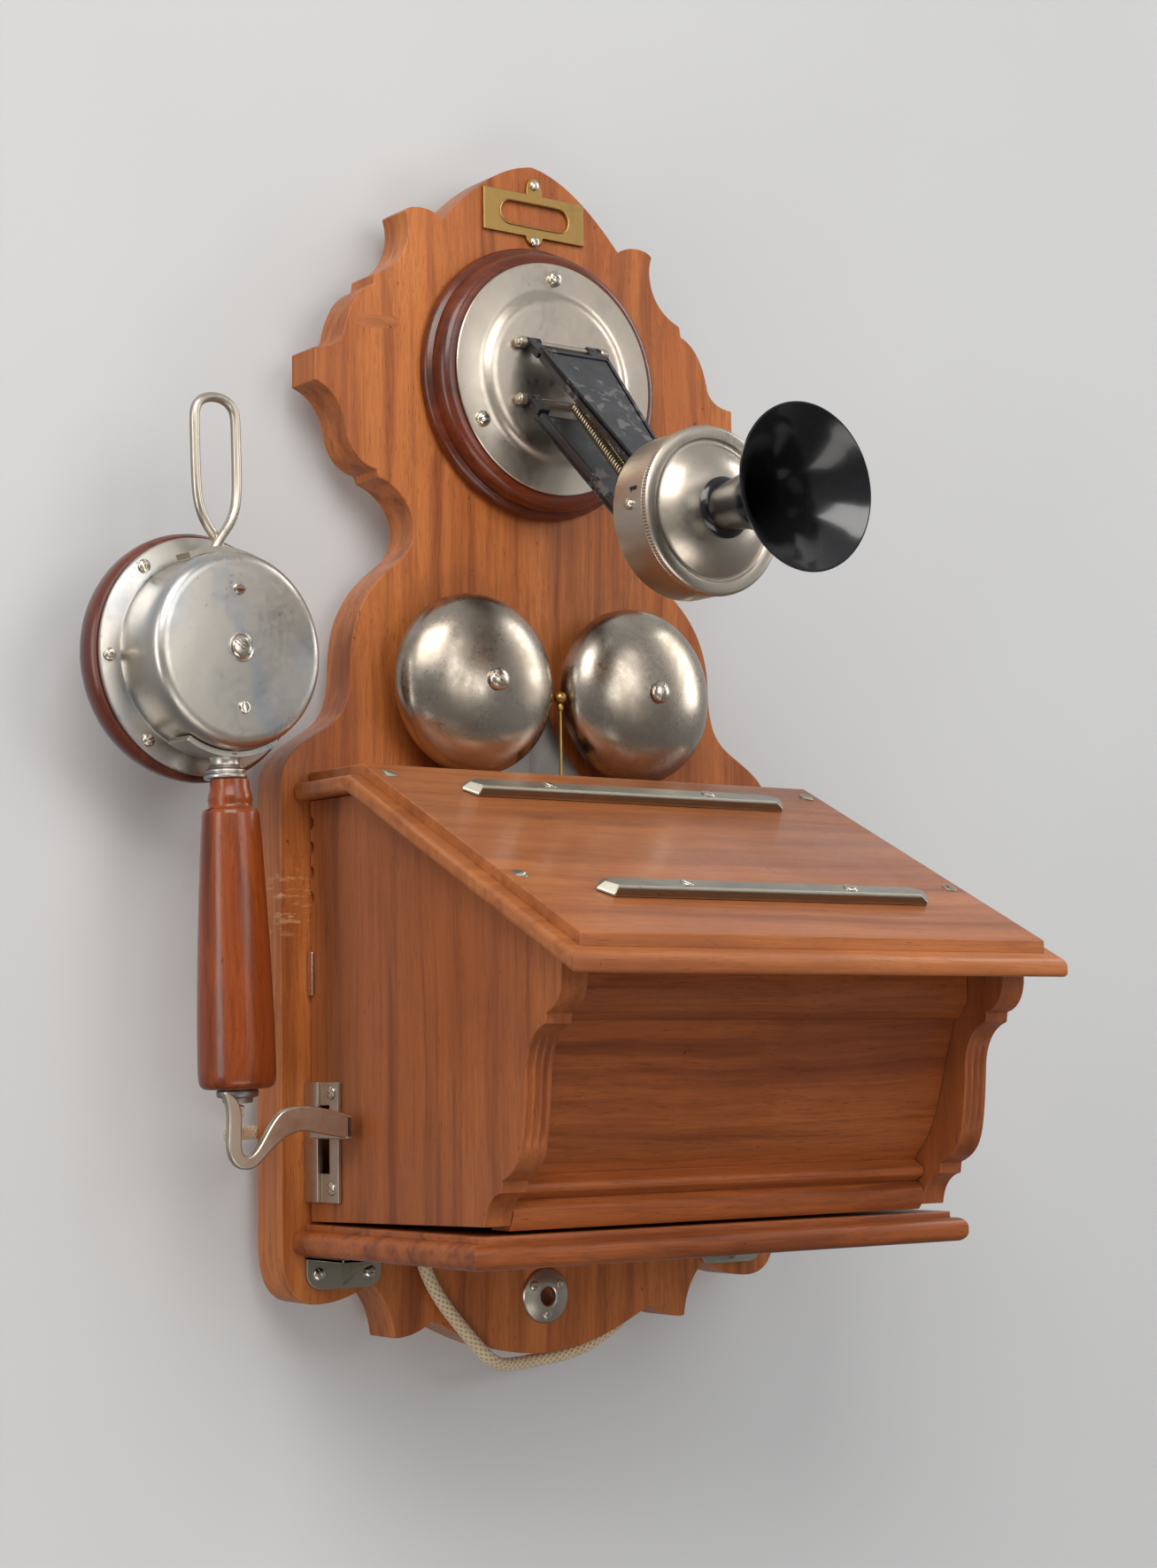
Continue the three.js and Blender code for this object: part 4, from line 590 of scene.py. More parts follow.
def together(*shapes):
    """One bmesh from several."""
    whole = shapes[0]
    for shape in shapes[1:]:
        carried = bpy.data.meshes.new("carried")
        shape.to_mesh(carried)
        shape.free()
        whole.from_mesh(carried)
        bpy.data.meshes.remove(carried)
    return whole


def wire(points, radius, sides=16, closed=False):
    """Round wire bent along a smooth line of points."""
    line = bpy.data.curves.new("line", "CURVE")
    line.dimensions = "3D"
    line.bevel_depth = radius * MM
    line.bevel_resolution = max(1, sides // 4 - 1)
    line.use_fill_caps = True
    spline = line.splines.new("NURBS")
    spline.points.add(len(points) - 1)
    for spot, point in zip(spline.points, points):
        spot.co = (point[0] * MM, point[1] * MM, point[2] * MM, 1)
    spline.order_u = 4
    spline.use_endpoint_u = not closed
    spline.use_cyclic_u = closed
    spline.resolution_u = 8
    carrier = bpy.data.objects.new("line", line)
    bpy.context.scene.collection.objects.link(carrier)
    bpy.context.view_layer.update()
    made = bpy.data.meshes.new_from_object(carrier.evaluated_get(bpy.context.evaluated_depsgraph_get()))
    shape = bmesh.new()
    shape.from_mesh(made)
    bmesh.ops.remove_doubles(shape, verts=shape.verts, dist=1e-6)
    bmesh.ops.recalc_face_normals(shape, faces=shape.faces)
    bpy.data.objects.remove(carrier)
    bpy.data.curves.remove(line)
    bpy.data.meshes.remove(made)
    return shape


def screw(radius, height, turn=25.0, slot_width=None, slot_depth=None, domed=True):
    """A slotted head standing on z = 0 and facing +Z."""
    rim = height * (0.35 if domed else 0.8)
    profile = [(0, 0), (radius * 0.97, 0), (radius, height * 0.12), (radius, rim)]
    if domed:
        dome = [(radius * math.cos(a), rim + (height - rim) * math.sin(a)) for a in (0.35, 0.65, 0.95, 1.25)]
        profile += dome + [(0, height)]
    else:
        profile += [(radius - height * 0.2, height), (0, height)]
    shape = spun(profile, 40)
    shape.normal_update()
    half = (slot_width or radius * 0.3) / 2 * MM
    floor = (height - (slot_depth or height * 0.6)) * MM
    for side in (-1, 1):
        cut_at(shape, (side * half, 0, 0), (1, 0, 0), 1e-7)
    shape.normal_update()

    def in_slot(face):
        middle = face.calc_center_median()
        return abs(middle.x) < half and face.normal.z > 0.15 and middle.z > floor

    # The slot is sunk, and its faces take the second, near-black material: painted shade in the slot.
    sunk = bmesh.ops.extrude_face_region(shape, geom=[f for f in shape.faces if in_slot(f)])
    for part in sunk["geom"]:
        if isinstance(part, bmesh.types.BMVert):
            part.co.z = min(part.co.z, floor)
        elif isinstance(part, bmesh.types.BMFace):
            part.material_index = 1
    bmesh.ops.recalc_face_normals(shape, faces=shape.faces)
    return moved(shape, Matrix.Rotation(math.radians(turn), 4, "Z"))


def front_screw(x, y, z, *head):
    """A screw head facing the front."""
    return moved(screw(*head), TO_FRONT, at(x, y, z))


def front_turned(profile, steps, x, y, z):
    """A body turned about an axis that runs to the front."""
    return moved(spun(profile, steps), TO_FRONT, at(x, y, z))


def piece(name, shape, finish, body, replaced=(), soften=0.0, segments=2, sharp=34):
    """The finished mesh as an object that rides on a body.

    soften rounds its edges by that many millimetres, and sharp is the least angle of an edge left crisp.
    """
    limit = math.radians(sharp)
    shape.normal_update()
    for face in shape.faces:
        face.smooth = True
    if not soften:
        for edge in shape.edges:
            if len(edge.link_faces) == 2 and edge.calc_face_angle(0) > limit:
                edge.smooth = False
    mesh = bpy.data.meshes.new(name)
    shape.to_mesh(mesh)
    shape.free()
    mesh.materials.append(finish)
    # Faces numbered 1 get the near-black material as a second slot: painted shade in slots.
    if any(face.material_index == 1 for face in mesh.polygons):
        mesh.materials.append(shade_black)
    made = bpy.data.objects.new(name, mesh)
    bpy.context.scene.collection.objects.link(made)
    if soften:
        edge = made.modifiers.new("eased edges", "BEVEL")
        edge.width = soften * MM
        edge.segments = segments
        edge.limit_method = "ANGLE"
        edge.angle_limit = math.radians(28)
        edge.use_clamp_overlap = False
        edge.harden_normals = True
    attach(made, body)
    if replaced:
        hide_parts(*([replaced] if isinstance(replaced, str) else replaced))
    return made


def add_screw(name, head, body):
    piece(name, head, screw_nickel, body, ())


def repaint(finish, *names):
    for name in names:
        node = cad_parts[name]
        node.data.materials.clear()
        node.data.materials.append(finish)


# ---------------------------------------------------------------- board


def board_outline():
    right = outline(
        (0, 107), (24, 104, 51.4, 73), (57, 77.5, 65, 76.8), (70, 76.4, 72, 74),
        (68.5, 66, 70, 48, 88.7, 41.5), (89.4, 36.5), (102, 32, 106, 11), (109, 3.5, 120.9, 2.9),
        (120.9, -12.5), (106.5, -17, 104.6, -34.5), (100, -48.5, 88.5, -50), (87, -53.6),
        (69, -59, 63, -78, 75, -89.5), (90, -101, 102.5, -113, 103, -140),
        (103.3, -158, 107, -164, 116, -170), (128, -178, 139.5, -182, 139.5, -198), (139.5, -396),
        (139.5, -414, 135, -424.3, 121, -424.3), (106, -424, 94.5, -416.5), (83.5, -426, 82, -441.5),
        (71, -442, 62, -435.5), (48, -441, 30, -453.5, 0, -453.5),
    )
    return right + [(-x, z) for x, z in right[-2:0:-1]]


def make_board():
    hole = arc((0, ESCUTCHEON_Z), FIXING_HOLE, 0, 342, 19)
    shape = front_slab(board_outline(), BOARD_BACK, BOARD_FACE, [hole])
    piece("backboard_shaped", shape, board_wood, "wall_side", "backboard", 0.7, 3)
    for name, x, z, lean in (("left", -88, 19, -6), ("right", 84, -20, 5)):
        plug = front_slab(arc((-9, 0), 3.0, 90, 270, 8) + arc((9, 0), 3.0, -90, 90, 8), 0.5, -0.05)
        moved(plug, Matrix.Rotation(math.radians(lean), 4, "Y"), at(x, BOARD_FACE, z))
        piece("plug_" + name, plug, desk_wood, "wall_side", (), 0.05)


def make_frame():
    back, face = BOARD_FACE - 0.3, BOARD_FACE - 1.8
    tabs = outline(
        (-29.2, 72.2), (-4.8, 72.2), (-4.8, 68.4, 0, 68.2), (4.8, 68.4, 4.8, 72.2), (29.2, 72.2),
        (29.2, 92.7), (4.5, 92.7), (4.5, 101, 0, 101), (-4.5, 101, -4.5, 92.7), (-29.2, 92.7),
    )
    window = arc((14, 82.4), 6, -90, 90, 10) + arc((-14, 82.4), 6, 90, 270, 10)
    plate = front_slab(tabs, back, face, [window])
    piece("name_frame_plate", plate, brass, "wall_side", "name_card_frame", 0.35, 2)
    edge = [(x, BOARD_FACE - 1.85, z) for x, z in window]
    piece("name_frame_lip", wire(edge, 0.42, 12, True), brass, "wall_side", ())
    for name, z, turn in (("top", 97.4, 20), ("bottom", 69.9, -50)):
        add_screw("name_frame_screw_" + name, front_screw(0, face, z, 2.5, 1.3, turn), "wall_side")


def make_escutcheon():
    profile = [
        (FIXING_HOLE, 0), (12.6, 0), (12.6, 0.5), (12.1, 1.2), (9, 2.2), (6.4, 2.9), (5.0, 3.0),
        (FIXING_HOLE, 2.6),
    ]
    disc = front_turned(profile, 72, 0, BOARD_FACE - 0.3, ESCUTCHEON_Z)
    piece("escutcheon_disc", disc, nickel, "wall_side", "fixing_escutcheon")
    for i, angle in enumerate((35, 145, 270)):
        x, z = 8.6 * math.cos(math.radians(angle)), 8.6 * math.sin(math.radians(angle))
        head = front_screw(x, BOARD_FACE - 2.2, ESCUTCHEON_Z + z, 2.4, 1.1, 30 + 55 * i)
        add_screw(f"escutcheon_screw_{i}", head, "wall_side")


# ---------------------------------------------------------------- transmitter


def make_rosette():
    profile = [
        (0, 0.3), (64, 0.3), (65.2, 1.0), (65.5, 2.4), (65.2, 4.4), (64.0, 5.8), (62.6, 6.2),
        (62.2, 6.5), (62.2, 7.4),
    ]
    profile += arc((57.2, 9.6), 5.0, -10, 88, 10, 1.2)[1:] + [(55.9, 15.7), (0, 15.7)]
    piece(
        "rosette_turned", front_turned(profile, 160, 0, BOARD_FACE, 0), rosette_wood, "wall_side",
        "rosette",
    )


def make_base_plate():
    profile = [(0, 0), (54.9, 0), (55.4, 0.3), (55.4, 0.8), (55.0, 1.15), (43.5, 1.35)]
    profile += [(41.5, 1.7), (40.2, 2.3), (39.2, 3.0), (38.0, 3.7), (36.4, 4.15), (34.6, 4.3), (0, 4.3)]
    piece(
        "base_plate_spun", front_turned(profile, 160, 0, BOARD_FACE - 16, 0), nickel, "wall_side",
        "base_plate",
    )
    for i, angle in enumerate((90, 210, 330)):
        x, z = 48 * math.cos(math.radians(angle)), 48 * math.sin(math.radians(angle))
        head = front_screw(x, BOARD_FACE - 17.2, z, 3.7, 2.7, 65 + 50 * i)
        add_screw(f"base_plate_screw_{i}", head, "wall_side")


def make_arm_pin(node, z):
    """A pin across the base plate, held by a lug, a foot and a riveted end on each side."""
    parts = [moved(bar(1.55, -25, 25), TO_RIGHT, at(0, PIN_Y, z))]
    for side in (-1, 1):
        outward = Matrix.Rotation(math.radians(90 * side), 4, "Y")
        lug = moved(bar(2.7, 21.4, 25.4, 0.5), outward, at(0, PIN_Y, z))
        foot = block(side * 21.4, side * 25, PIN_Y, PLATE_FACE - 0.05, z - 2.2, z + 2.2, 0.3)
        rivet = spun([(0, 25), (1.9, 25), (1.9, 25.9), (1.3, 26.4), (0, 26.5)], 24)
        parts += [lug, foot, moved(rivet, outward, at(0, PIN_Y, z))]
    piece(node + "_hinge", together(*parts), nickel, "wall_side", node)


def arm_frame(pin_z):
    """Turns a shape drawn with u along X, width along Y and lift along Z onto an arm."""
    along = Vector((0, -math.cos(ARM_ANGLE), -math.sin(ARM_ANGLE)))
    across = Vector((1, 0, 0))
    lift = across.cross(along) * -1
    if lift.z < 0:
        lift = -lift
    turn = Matrix((along, across, lift)).transposed().to_4x4()
    return at(0, PIN_Y, pin_z) @ turn


def make_arm(node, body, pin_z, facing):
    """The cast arm: a tapering channel with a sunk panel on its outer face and a knuckle at each end."""
    length = ARM_LENGTH
    top = 3.8 * facing
    under = -1.2 * facing
    ridge = top + 0.7 * facing
    start, end, tip, neck = 12, length - 8, length - 7, length - 9

    def half(u):
        return 20.5 - 12 * u / length

    def strip(side, u0, u1, width0, width1):
        """A strip along one long edge, of one width at u0 and another at u1."""
        outer = [(u0, side * half(u0)), (u1, side * half(u1))]
        return outer + [(u1, side * (half(u1) - width1)), (u0, side * (half(u0) - width0))]

    web = [
        (9, half(9)), (tip, half(tip)), (length - 2, 8.3), (length - 2, -8.3), (tip, -half(tip)),
        (9, -half(9)),
    ]
    parts = [layer(web, top, top - 2.4 * facing)]
    for side in (-1, 1):
        parts.append(layer(strip(side, start, end, 3.0, 2.6), top, under))
        parts.append(layer(strip(side, start - 3, end + 1, 1.9, 1.9), top, ridge))
    for u in (start - 2, end - 3):
        parts.append(
            layer([(u, half(u)), (u + 2.4, half(u)), (u + 2.4, -half(u)), (u, -half(u))], top, ridge)
        )
    for side in (-1, 1):
        cheek = [(1.2, side * 20.2), (10, side * half(10)), (10, side * 13), (1.2, side * 14)]
        parts.append(slab(cheek, -1.9, 1.9))
    nose = [(neck, half(neck)), (length - 0.4, 8.3), (length - 0.4, -8.3), (neck, -half(neck))]
    parts.append(slab(nose, -1.9, 1.9))
    shape = together(*parts)
    for u, near, far in ((0, 13.5, 20.8), (0, -20.8, -13.5), (length, -8.5, 8.5)):
        knuckle = spun(
            [(1.7, near), (2.5, near), (2.6, near + 0.3), (2.6, far - 0.3), (2.5, far), (1.7, far)], 28
        )
        shape = together(shape, moved(knuckle, TO_FRONT, at(u, 0, 0)))
    bmesh.ops.transform(shape, matrix=arm_frame(pin_z), verts=shape.verts)
    bmesh.ops.recalc_face_normals(shape, faces=shape.faces)
    piece(node + "_cast", shape, arm_enamel, body, node, 0.45, 2)


def make_spring():
    """Close-wound spring held between two eyes above the lower arm."""
    turns, start, end, coil, thick = 42, 14.0, 97.0, 2.4, 0.5
    lift, leftward = 8, -3.5
    steps = turns * 16
    shape = bmesh.new()
    ring = bmesh.ops.create_circle(shape, segments=10, radius=thick * MM, cap_ends=False)["verts"]
    bmesh.ops.transform(shape, matrix=at(0, coil, 0), verts=ring)
    bmesh.ops.spin(
        shape, geom=shape.verts[:] + shape.edges[:], axis=(1, 0, 0), cent=(0, 0, 0),
        dvec=((end - start) * MM / steps, 0, 0), angle=TURN * turns, steps=steps,
    )
    bmesh.ops.holes_fill(shape, edges=shape.edges[:], sides=12)
    bmesh.ops.recalc_face_normals(shape, faces=shape.faces)
    bmesh.ops.translate(shape, vec=(start * MM, 0, lift * MM), verts=shape.verts)
    rear_eye = [(start + 1, 0, 10.3), (start - 2, 0, 9.6), (start - 5, 0, 7), (start - 5, 0, 3.2)]
    front_eye = [(end - 1, 0, 10.3), (end + 2, 0, 9.6), (end + 4, 0, 7), (end + 4.5, 0, 3.2)]
    core = moved(spun([(0, start), (0.9, start), (0.9, end), (0, end)], 16), TO_RIGHT, at(0, 0, lift))
    shape = together(shape, wire(rear_eye, thick, 12), wire(front_eye, thick, 12), core)
    bmesh.ops.transform(shape, matrix=at(leftward, 0, 0) @ arm_frame(-PIN_SPREAD), verts=shape.verts)
    piece("counter_spring_wound", shape, spring_steel, "lower_arm", "counter_spring")


def make_drum():
    """The drum with the two ears and pins that the arms' front ends turn on."""
    rear, front, spread = CUP_REAR, CUP_FRONT, PIN_SPREAD
    cup = [
        (0, rear), (33.8, rear), (35.6, rear + 0.5), (36.6, rear + 1.6), (CUP_RADIUS, rear + 3),
        (CUP_RADIUS, front - 0.3), (36.5, front), (34.3, front), (34.3, rear + 3), (0, rear + 3),
    ]
    ear = [
        (-131, -spread - 3.4), (-128.6, -spread - 3.2), (-127.4, -spread - 1), (-127.4, spread + 1),
        (-128.6, spread + 3.2), (-131, spread + 3.4), (-138.2, spread + 3.4), (-138.2, -spread - 3.4),
    ]
    parts = [moved(spun(cup, 144), at(0, 0, HEAD_Z) @ TO_FRONT)]
    for side in (-1, 1):
        near, far = sorted((side * 10.1, side * 10.1 + 3 * side))
        parts.append(side_slab([(y, z + HEAD_Z) for y, z in ear], near, far))
        pin = bar(1.4, -13.7, 13.7, 0.3, 24)
        parts.append(moved(pin, TO_RIGHT, at(0, PIN_Y - ARM_REACH, HEAD_Z + side * spread)))
    piece("transmitter_drum", together(*parts), nickel, "transmitter_head", "transmitter_cup")


def make_face():
    """The domed face with a milled rim."""
    back, steps = FACE_BACK, 320
    profile = [
        (10.9, back + 10.4), (11.2, back + 11.0), (13.5, back + 10.9), (18, back + 9.9), (22.5, back + 8.2),
        (26.4, back + 5.9), (28.6, back + 4.1), (29.6, back + 3.3), (30.6, back + 3.05), (31.4, back + 3.3),
        (31.8, back + 3.8), (32.6, back + 4.0), (36.2, back + 4.0), (36.9, back + 3.7), (37.35, back + 3.2),
        (37.35, back + 0.6), (36.9, back), (34.5, back), (30, back + 2.0), (26, back + 4.4),
        (18, back + 8.0),
        (10.9, back + 9.4),
    ]
    shape = spun(profile, steps)
    for vert in shape.verts:
        reach = math.hypot(vert.co.x, vert.co.y)
        if reach > 37.3 * MM:
            around = round(math.atan2(vert.co.y, vert.co.x) / TURN * steps)
            grow = 1 + (0.2 if around % 2 else -0.12) * MM / reach
            vert.co.x *= grow
            vert.co.y *= grow
    moved(shape, TO_FRONT, at(0, 0, HEAD_Z))
    piece("transmitter_face", shape, nickel, "transmitter_head", "transmitter_cap")


def make_horn():
    root = FACE_BACK + 11
    tip = root + HORN_LENGTH

    def flare(t):
        return 10.6 + 25.4 * t**2.3

    neck = [
        (7.4, root - 12), (10.6, root - 12), (10.6, root - 0.2), (13.4, root - 0.1), (13.6, root + 0.5),
        (12.6, root + 1.6), (11.0, root + 2.2),
    ]
    outside = [(flare(i / 24), root + HORN_LENGTH * i / 24) for i in range(2, 25)]
    rim = [(36.15, tip + 0.3), (35.9, tip + 0.6), (35.3, tip + 0.6), (34.7, tip)]
    inside = [
        (flare(1 - i / 24) - 1.7 - 0.9 * i / 24, root + HORN_LENGTH * (1 - i / 24))
        for i in range(1, 22)
    ]
    horn = spun(neck + outside + rim + inside + [(7.4, root + 2)], 128)
    moved(horn, TO_FRONT, at(0, 0, HEAD_Z))
    piece("horn_flared", horn, ebonite, "transmitter_head", "horn")


def make_catch():
    """The bayonet slot in the drum's left side, and its screw. The slot is not cut: a thin near-black sheet
    on the drum is painted shade.
    """
    to_left = Matrix.Rotation(math.radians(-90), 4, "Y")
    slot = [(-1, 0.9), (8.6, 0.9), (8.6, -0.9), (8.6, -4.2), (6.8, -4.2), (6.8, -0.9), (-1, -0.9)]
    mark = moved(slab(slot, 36.7, 36.92), to_left, at(0, CATCH_Y, HEAD_Z))
    for vert in mark.verts:
        off = (vert.co.z - HEAD_Z * MM) / (CUP_RADIUS * MM)
        vert.co.x = vert.co.x * math.sqrt(max(0.0, 1 - off * off))
    piece("drum_catch_slot_shade", mark, shade_black, "transmitter_head", ())
    place = at(0, CATCH_Y, HEAD_Z) @ Matrix.Rotation(math.radians(1.5), 4, "Y") @ to_left
    add_screw(
        "drum_catch_screw", moved(screw(2.5, 2.2, 40), at(0, 0, CUP_RADIUS), place), "transmitter_head"
    )


def make_diaphragm():
    back = FACE_BACK
    profile = [(0, back - 5), (30, back - 5), (30, back - 3.6), (12, back - 3.2), (0, back - 3.2)]
    disc = front_turned(profile, 72, 0, 0, HEAD_Z)
    # The diaphragm is drawn near black: painted shade behind the mouthpiece's opening.
    piece("diaphragm", disc, shade_black, "transmitter_head", ())


# ---------------------------------------------------------------- ringer


def make_gong(side):
    """A gong on its post, held by a large screw."""
    name = "left" if side < 0 else "right"
    x, rim, depth, wall = side * 46, 42.0, 21.0, 1.8
    angles = [0.0, 0.05, 0.12] + [0.12 + 1.28 * i / 20 for i in range(1, 21)]
    outside = [(GONG_RADIUS * math.cos(a), rim + depth * math.sin(a) ** 0.86) for a in angles]
    inside = [
        ((GONG_RADIUS - wall) * math.cos(a), rim + (depth - wall) * math.sin(a) ** 0.86)
        for a in reversed(angles)
    ]
    bowl = spun(outside + [(3.0, rim + depth), (3.0, rim + depth - wall)] + inside, 144)
    moved(bowl, TO_FRONT, Matrix.Rotation(side * 0.7, 4, "Y"), at(x, 0, GONG_Z))
    piece("gong_" + name + "_spun", bowl, gong_nickel, "wall_side", "gong_" + name)
    post = [
        (0, 29.3), (7, 29.3), (7, 30.8), (6.5, 31.3), (4.4, 32.3), (4, 33.2), (4, 60.4), (2.6, 60.8),
        (2.6, 63.6), (0, 63.6),
    ]
    stand = front_turned(post, 40, x, 0, GONG_Z)
    piece("gong_stand_" + name, stand, nickel, "wall_side", "gong_post_" + name)
    head = front_screw(x, -63.3, GONG_Z, 5.1, 3.4, 55 if side < 0 else -20, 1.1, 1.7)
    add_screw("gong_screw_" + name, head, "wall_side")


def make_ringer_plate():
    plate = outline(
        (-4, -153.6), (4, -153.6), (10, -177, 34, -194.8), (34, -262.8), (-34, -262.8), (-34, -194.8),
        (-10, -177, -4, -153.6),
    )[:-1]
    shape = front_slab(plate, BOARD_FACE - 0.3, BOARD_FACE - 2.3)
    piece("ringer_base", shape, steel, "wall_side", "ringer_plate", 0.3)


def make_clapper():
    """The rod and ball between the gongs, and the armature that rocks them."""
    rod = bar(0.8, -205.6, -153.5, 0.2, 16)
    ball = bmesh.new()
    bmesh.ops.create_uvsphere(ball, u_segments=32, v_segments=20, radius=3 * MM)
    bmesh.ops.translate(ball, vec=(0, 0, -151.4 * MM), verts=ball.verts)
    collar = spun([(0, -157.5), (1.5, -157.2), (1.7, -155.8), (1.3, -154.4), (0, -154)], 20)
    striker = moved(together(rod, ball, collar), at(0, -47, 0))
    piece("clapper_ball_and_rod", striker, brass, "clapper", "clapper")
    armature = together(
        block(-24, 24, -52, -42, -209.5, -205.5, 0.5),
        block(-3, 3, -53, -41, -210.2, -206.2, 0.4),
    )
    piece("ringer_armature_bar", armature, steel, "clapper", "ringer_armature")


def make_ringer_coils():
    iron, silk = [block(-27, 27, -58, -31.6, -259.3, -254.5, 0.5)], []
    winding = [(0, 0), (9.6, 0), (9.9, 1), (9.9, 33), (9.6, 34.4), (0, 34.4)]
    for x in (-17, 17):
        for z in (-255.2, -218.2):
            iron.append(moved(spun([(0, 0), (11, 0), (11, 2.6), (0, 2.6)], 48), at(x, -48, z)))
        iron.append(moved(bar(3.5, -216, -214.6, 0.3), at(x, -48, 0)))
        silk.append(moved(spun(winding, 56), at(x, -48, -252.6)))
    piece("ringer_yoke_and_cheeks", together(*iron), steel, "wall_side", "ringer_coils", 0.2)
    piece("ringer_windings", together(*silk), green_silk_z, "wall_side", ())


# ---------------------------------------------------------------- housing


def desk_height(y, below=0.0):
    """The height at y of a level so many millimetres under the desk's face."""
    bend = DESK_BEND + below * math.tan(DESK_SLOPE / 2)
    if y >= bend:
        return DESK_TOP - below
    return DESK_TOP - below - (bend - y) * math.tan(DESK_SLOPE)


def under_desk(y):
    return desk_height(y, DESK_THICKNESS)


def side_outline():
    """The side panel with its scrolled bracket, in Y and Z."""
    f, b = HOUSING_FRONT, HOUSING_BOTTOM - 1.2
    bend = DESK_BEND + DESK_THICKNESS * math.tan(DESK_SLOPE / 2)
    return outline(
        (HOUSING_REAR, b), (HOUSING_REAR, under_desk(HOUSING_REAR)), (bend, under_desk(bend)),
        (f - 55.5, under_desk(f - 55.5)), (f - 55, b + 100), (f - 53.5, b + 89.5, f - 44.5, b + 87.5),
        (f - 43.8, b + 83.2), (f - 32, b + 80, f - 30.2, b + 65), (f - 28.8, b + 41, f - 25.6, b + 32.5),
        (f - 22.5, b + 24.5, f - 13, b + 21.5), (f - 12.2, b + 16.6), (f - 1, b + 14.5, f, b),
    )[:-1]


def rear_notches():
    """Four half-round finger notches up the rear edge of the left side."""
    points = []
    for i in range(4):
        z = -246.6 + 11.1 * i
        points.append((HOUSING_REAR, z - 3))
        points += [(HOUSING_REAR - 3 * math.cos(a), z + 3 * math.sin(a)) for a in (-1.0, -0.5, 0, 0.5, 1.0)]
        points.append((HOUSING_REAR, z + 3))
    return points


def flute(shape, x0):
    """Three shallow grooves down the front edge of a bracket."""
    grooves = (x0 + PANEL * 0.22, x0 + PANEL * 0.5, x0 + PANEL * 0.78)
    for middle in grooves:
        for x in (middle - 1.35, middle, middle + 1.35):
            cut_at(shape, (x * MM, 0, 0), (1, 0, 0))
    low, high = HOUSING_BOTTOM + 33, HOUSING_BOTTOM + 79
    for vert in shape.verts:
        z = vert.co.z / MM
        on_groove = any(abs(vert.co.x / MM - middle) < 0.05 for middle in grooves)
        if low <= z <= high and vert.co.y / MM < -185 and on_groove:
            fade = min(1, (z - low) / 5, (high - z) / 5)
            vert.co.y += 1.7 * MM * max(0, fade)


def make_side(side):
    """A side panel: the left one has the lever's slot and the notches, the right one the crank's hole."""
    if side < 0:
        name, x0 = "left", -SIDE
        slot = [(HOUSING_REAR, -368), (-49.5, -368), (-49.5, -337.5), (HOUSING_REAR, -337.5)]
        edge = side_outline()
        shape = side_slab([edge[0]] + slot + rear_notches() + edge[1:], x0, x0 + PANEL)
    else:
        name, x0 = "right", SIDE - PANEL
        shape = side_slab(side_outline(), x0, x0 + PANEL, [arc((CRANK_Y, CRANK_Z), 5, 0, 345, 23)])
    flute(shape, x0)
    piece("side_" + name + "_scrolled", shape, side_wood, "housing", "side_panel_" + name, 0.35, 2)


def make_front():
    f, b = HOUSING_FRONT, HOUSING_BOTTOM - 1.6
    ring = outline(
        (f - 33, under_desk(f - 33)), (f - 33, b + 94.5), (f - 33.4, b + 92.2, f - 31.8, b + 91),
        (f - 30.6, b + 90.2, f - 30.8, b + 88.6), (f - 28.8, b + 87.4),
        (f - 28, b + 85.5, f - 25.5, b + 85.2),
        (f - 17, b + 71, f - 14.5, b + 38, f + 1.5, b + 26), (f + 3.5, b + 23), (f + 1, b + 21.5),
        (f - 2.4, b + 20.5, f - 2.4, b + 18), (f - 2.2, b + 15.6, f + 0.5, b + 15.2), (f + 2.6, b + 13.6),
        (f - 0.2, b + 12.8, f - 1.8, b + 10), (f - 2.4, b + 5, f + 1.2, b + 1), (f + 14, b + 1),
        (f + 13, b + 28),
        (f - 2, b + 45, f - 8, b + 84), (f - 22, under_desk(f - 22)),
    )
    piece(
        "front_coved", side_slab(ring, -111.7, 111.7), front_wood, "housing", "front_panel",
        0.3, 2,
    )


def bend_desk(shape, front, top):
    """Bends a flat layer down over the line where the slope begins."""
    cut_at(shape, (0, DESK_BEND * MM, 0), (0, 1, 0))
    for vert in shape.verts:
        below = top - vert.co.z / MM
        y = vert.co.y / MM
        bend = DESK_BEND + below * math.tan(DESK_SLOPE / 2)
        if y <= DESK_BEND + 1e-4:
            share = (y - DESK_BEND) / (front - DESK_BEND)
            y = bend + share * (front - bend)
            vert.co.y = y * MM
        vert.co.z = desk_height(y, below) * MM


def desk_layer(half, front, top, bottom, rounding):
    """One board of the desk, with a notch at the rear for the clapper. Its outer edges may be rounded."""
    rear = HOUSING_REAR

    def at_rim(vert):
        return abs(abs(vert.co.x) - half * MM) < 1e-6 or abs(vert.co.y - front * MM) < 1e-6

    def at_rear(vert):
        return abs(vert.co.y - rear * MM) < 1e-6

    plan = [(-half, rear), (-half, front), (half, front), (half, rear)]
    plan += [
        (38, rear), (38, -33.6), (9, -33.6), (9, -55), (-9, -55), (-9, -33.6), (-38, -33.6), (-38, rear)
    ]
    shape = bmesh.new()
    shape.faces.new([shape.verts.new((x * MM, y * MM, 0)) for x, y in plan])
    lowered = bmesh.ops.extrude_face_region(shape, geom=shape.faces[:], use_keep_orig=True)
    bmesh.ops.translate(shape, vec=(0, 0, -(bottom - top) * MM), verts=verts_of(lowered))
    bmesh.ops.recalc_face_normals(shape, faces=shape.faces)
    if rounding:
        outer = [
            e
            for e in shape.edges
            if is_level(e) and all(map(at_rim, e.verts)) and not all(map(at_rear, e.verts))
        ]
        ease(shape, outer, rounding, 6)
    bend_desk(shape, front, top)
    return shape


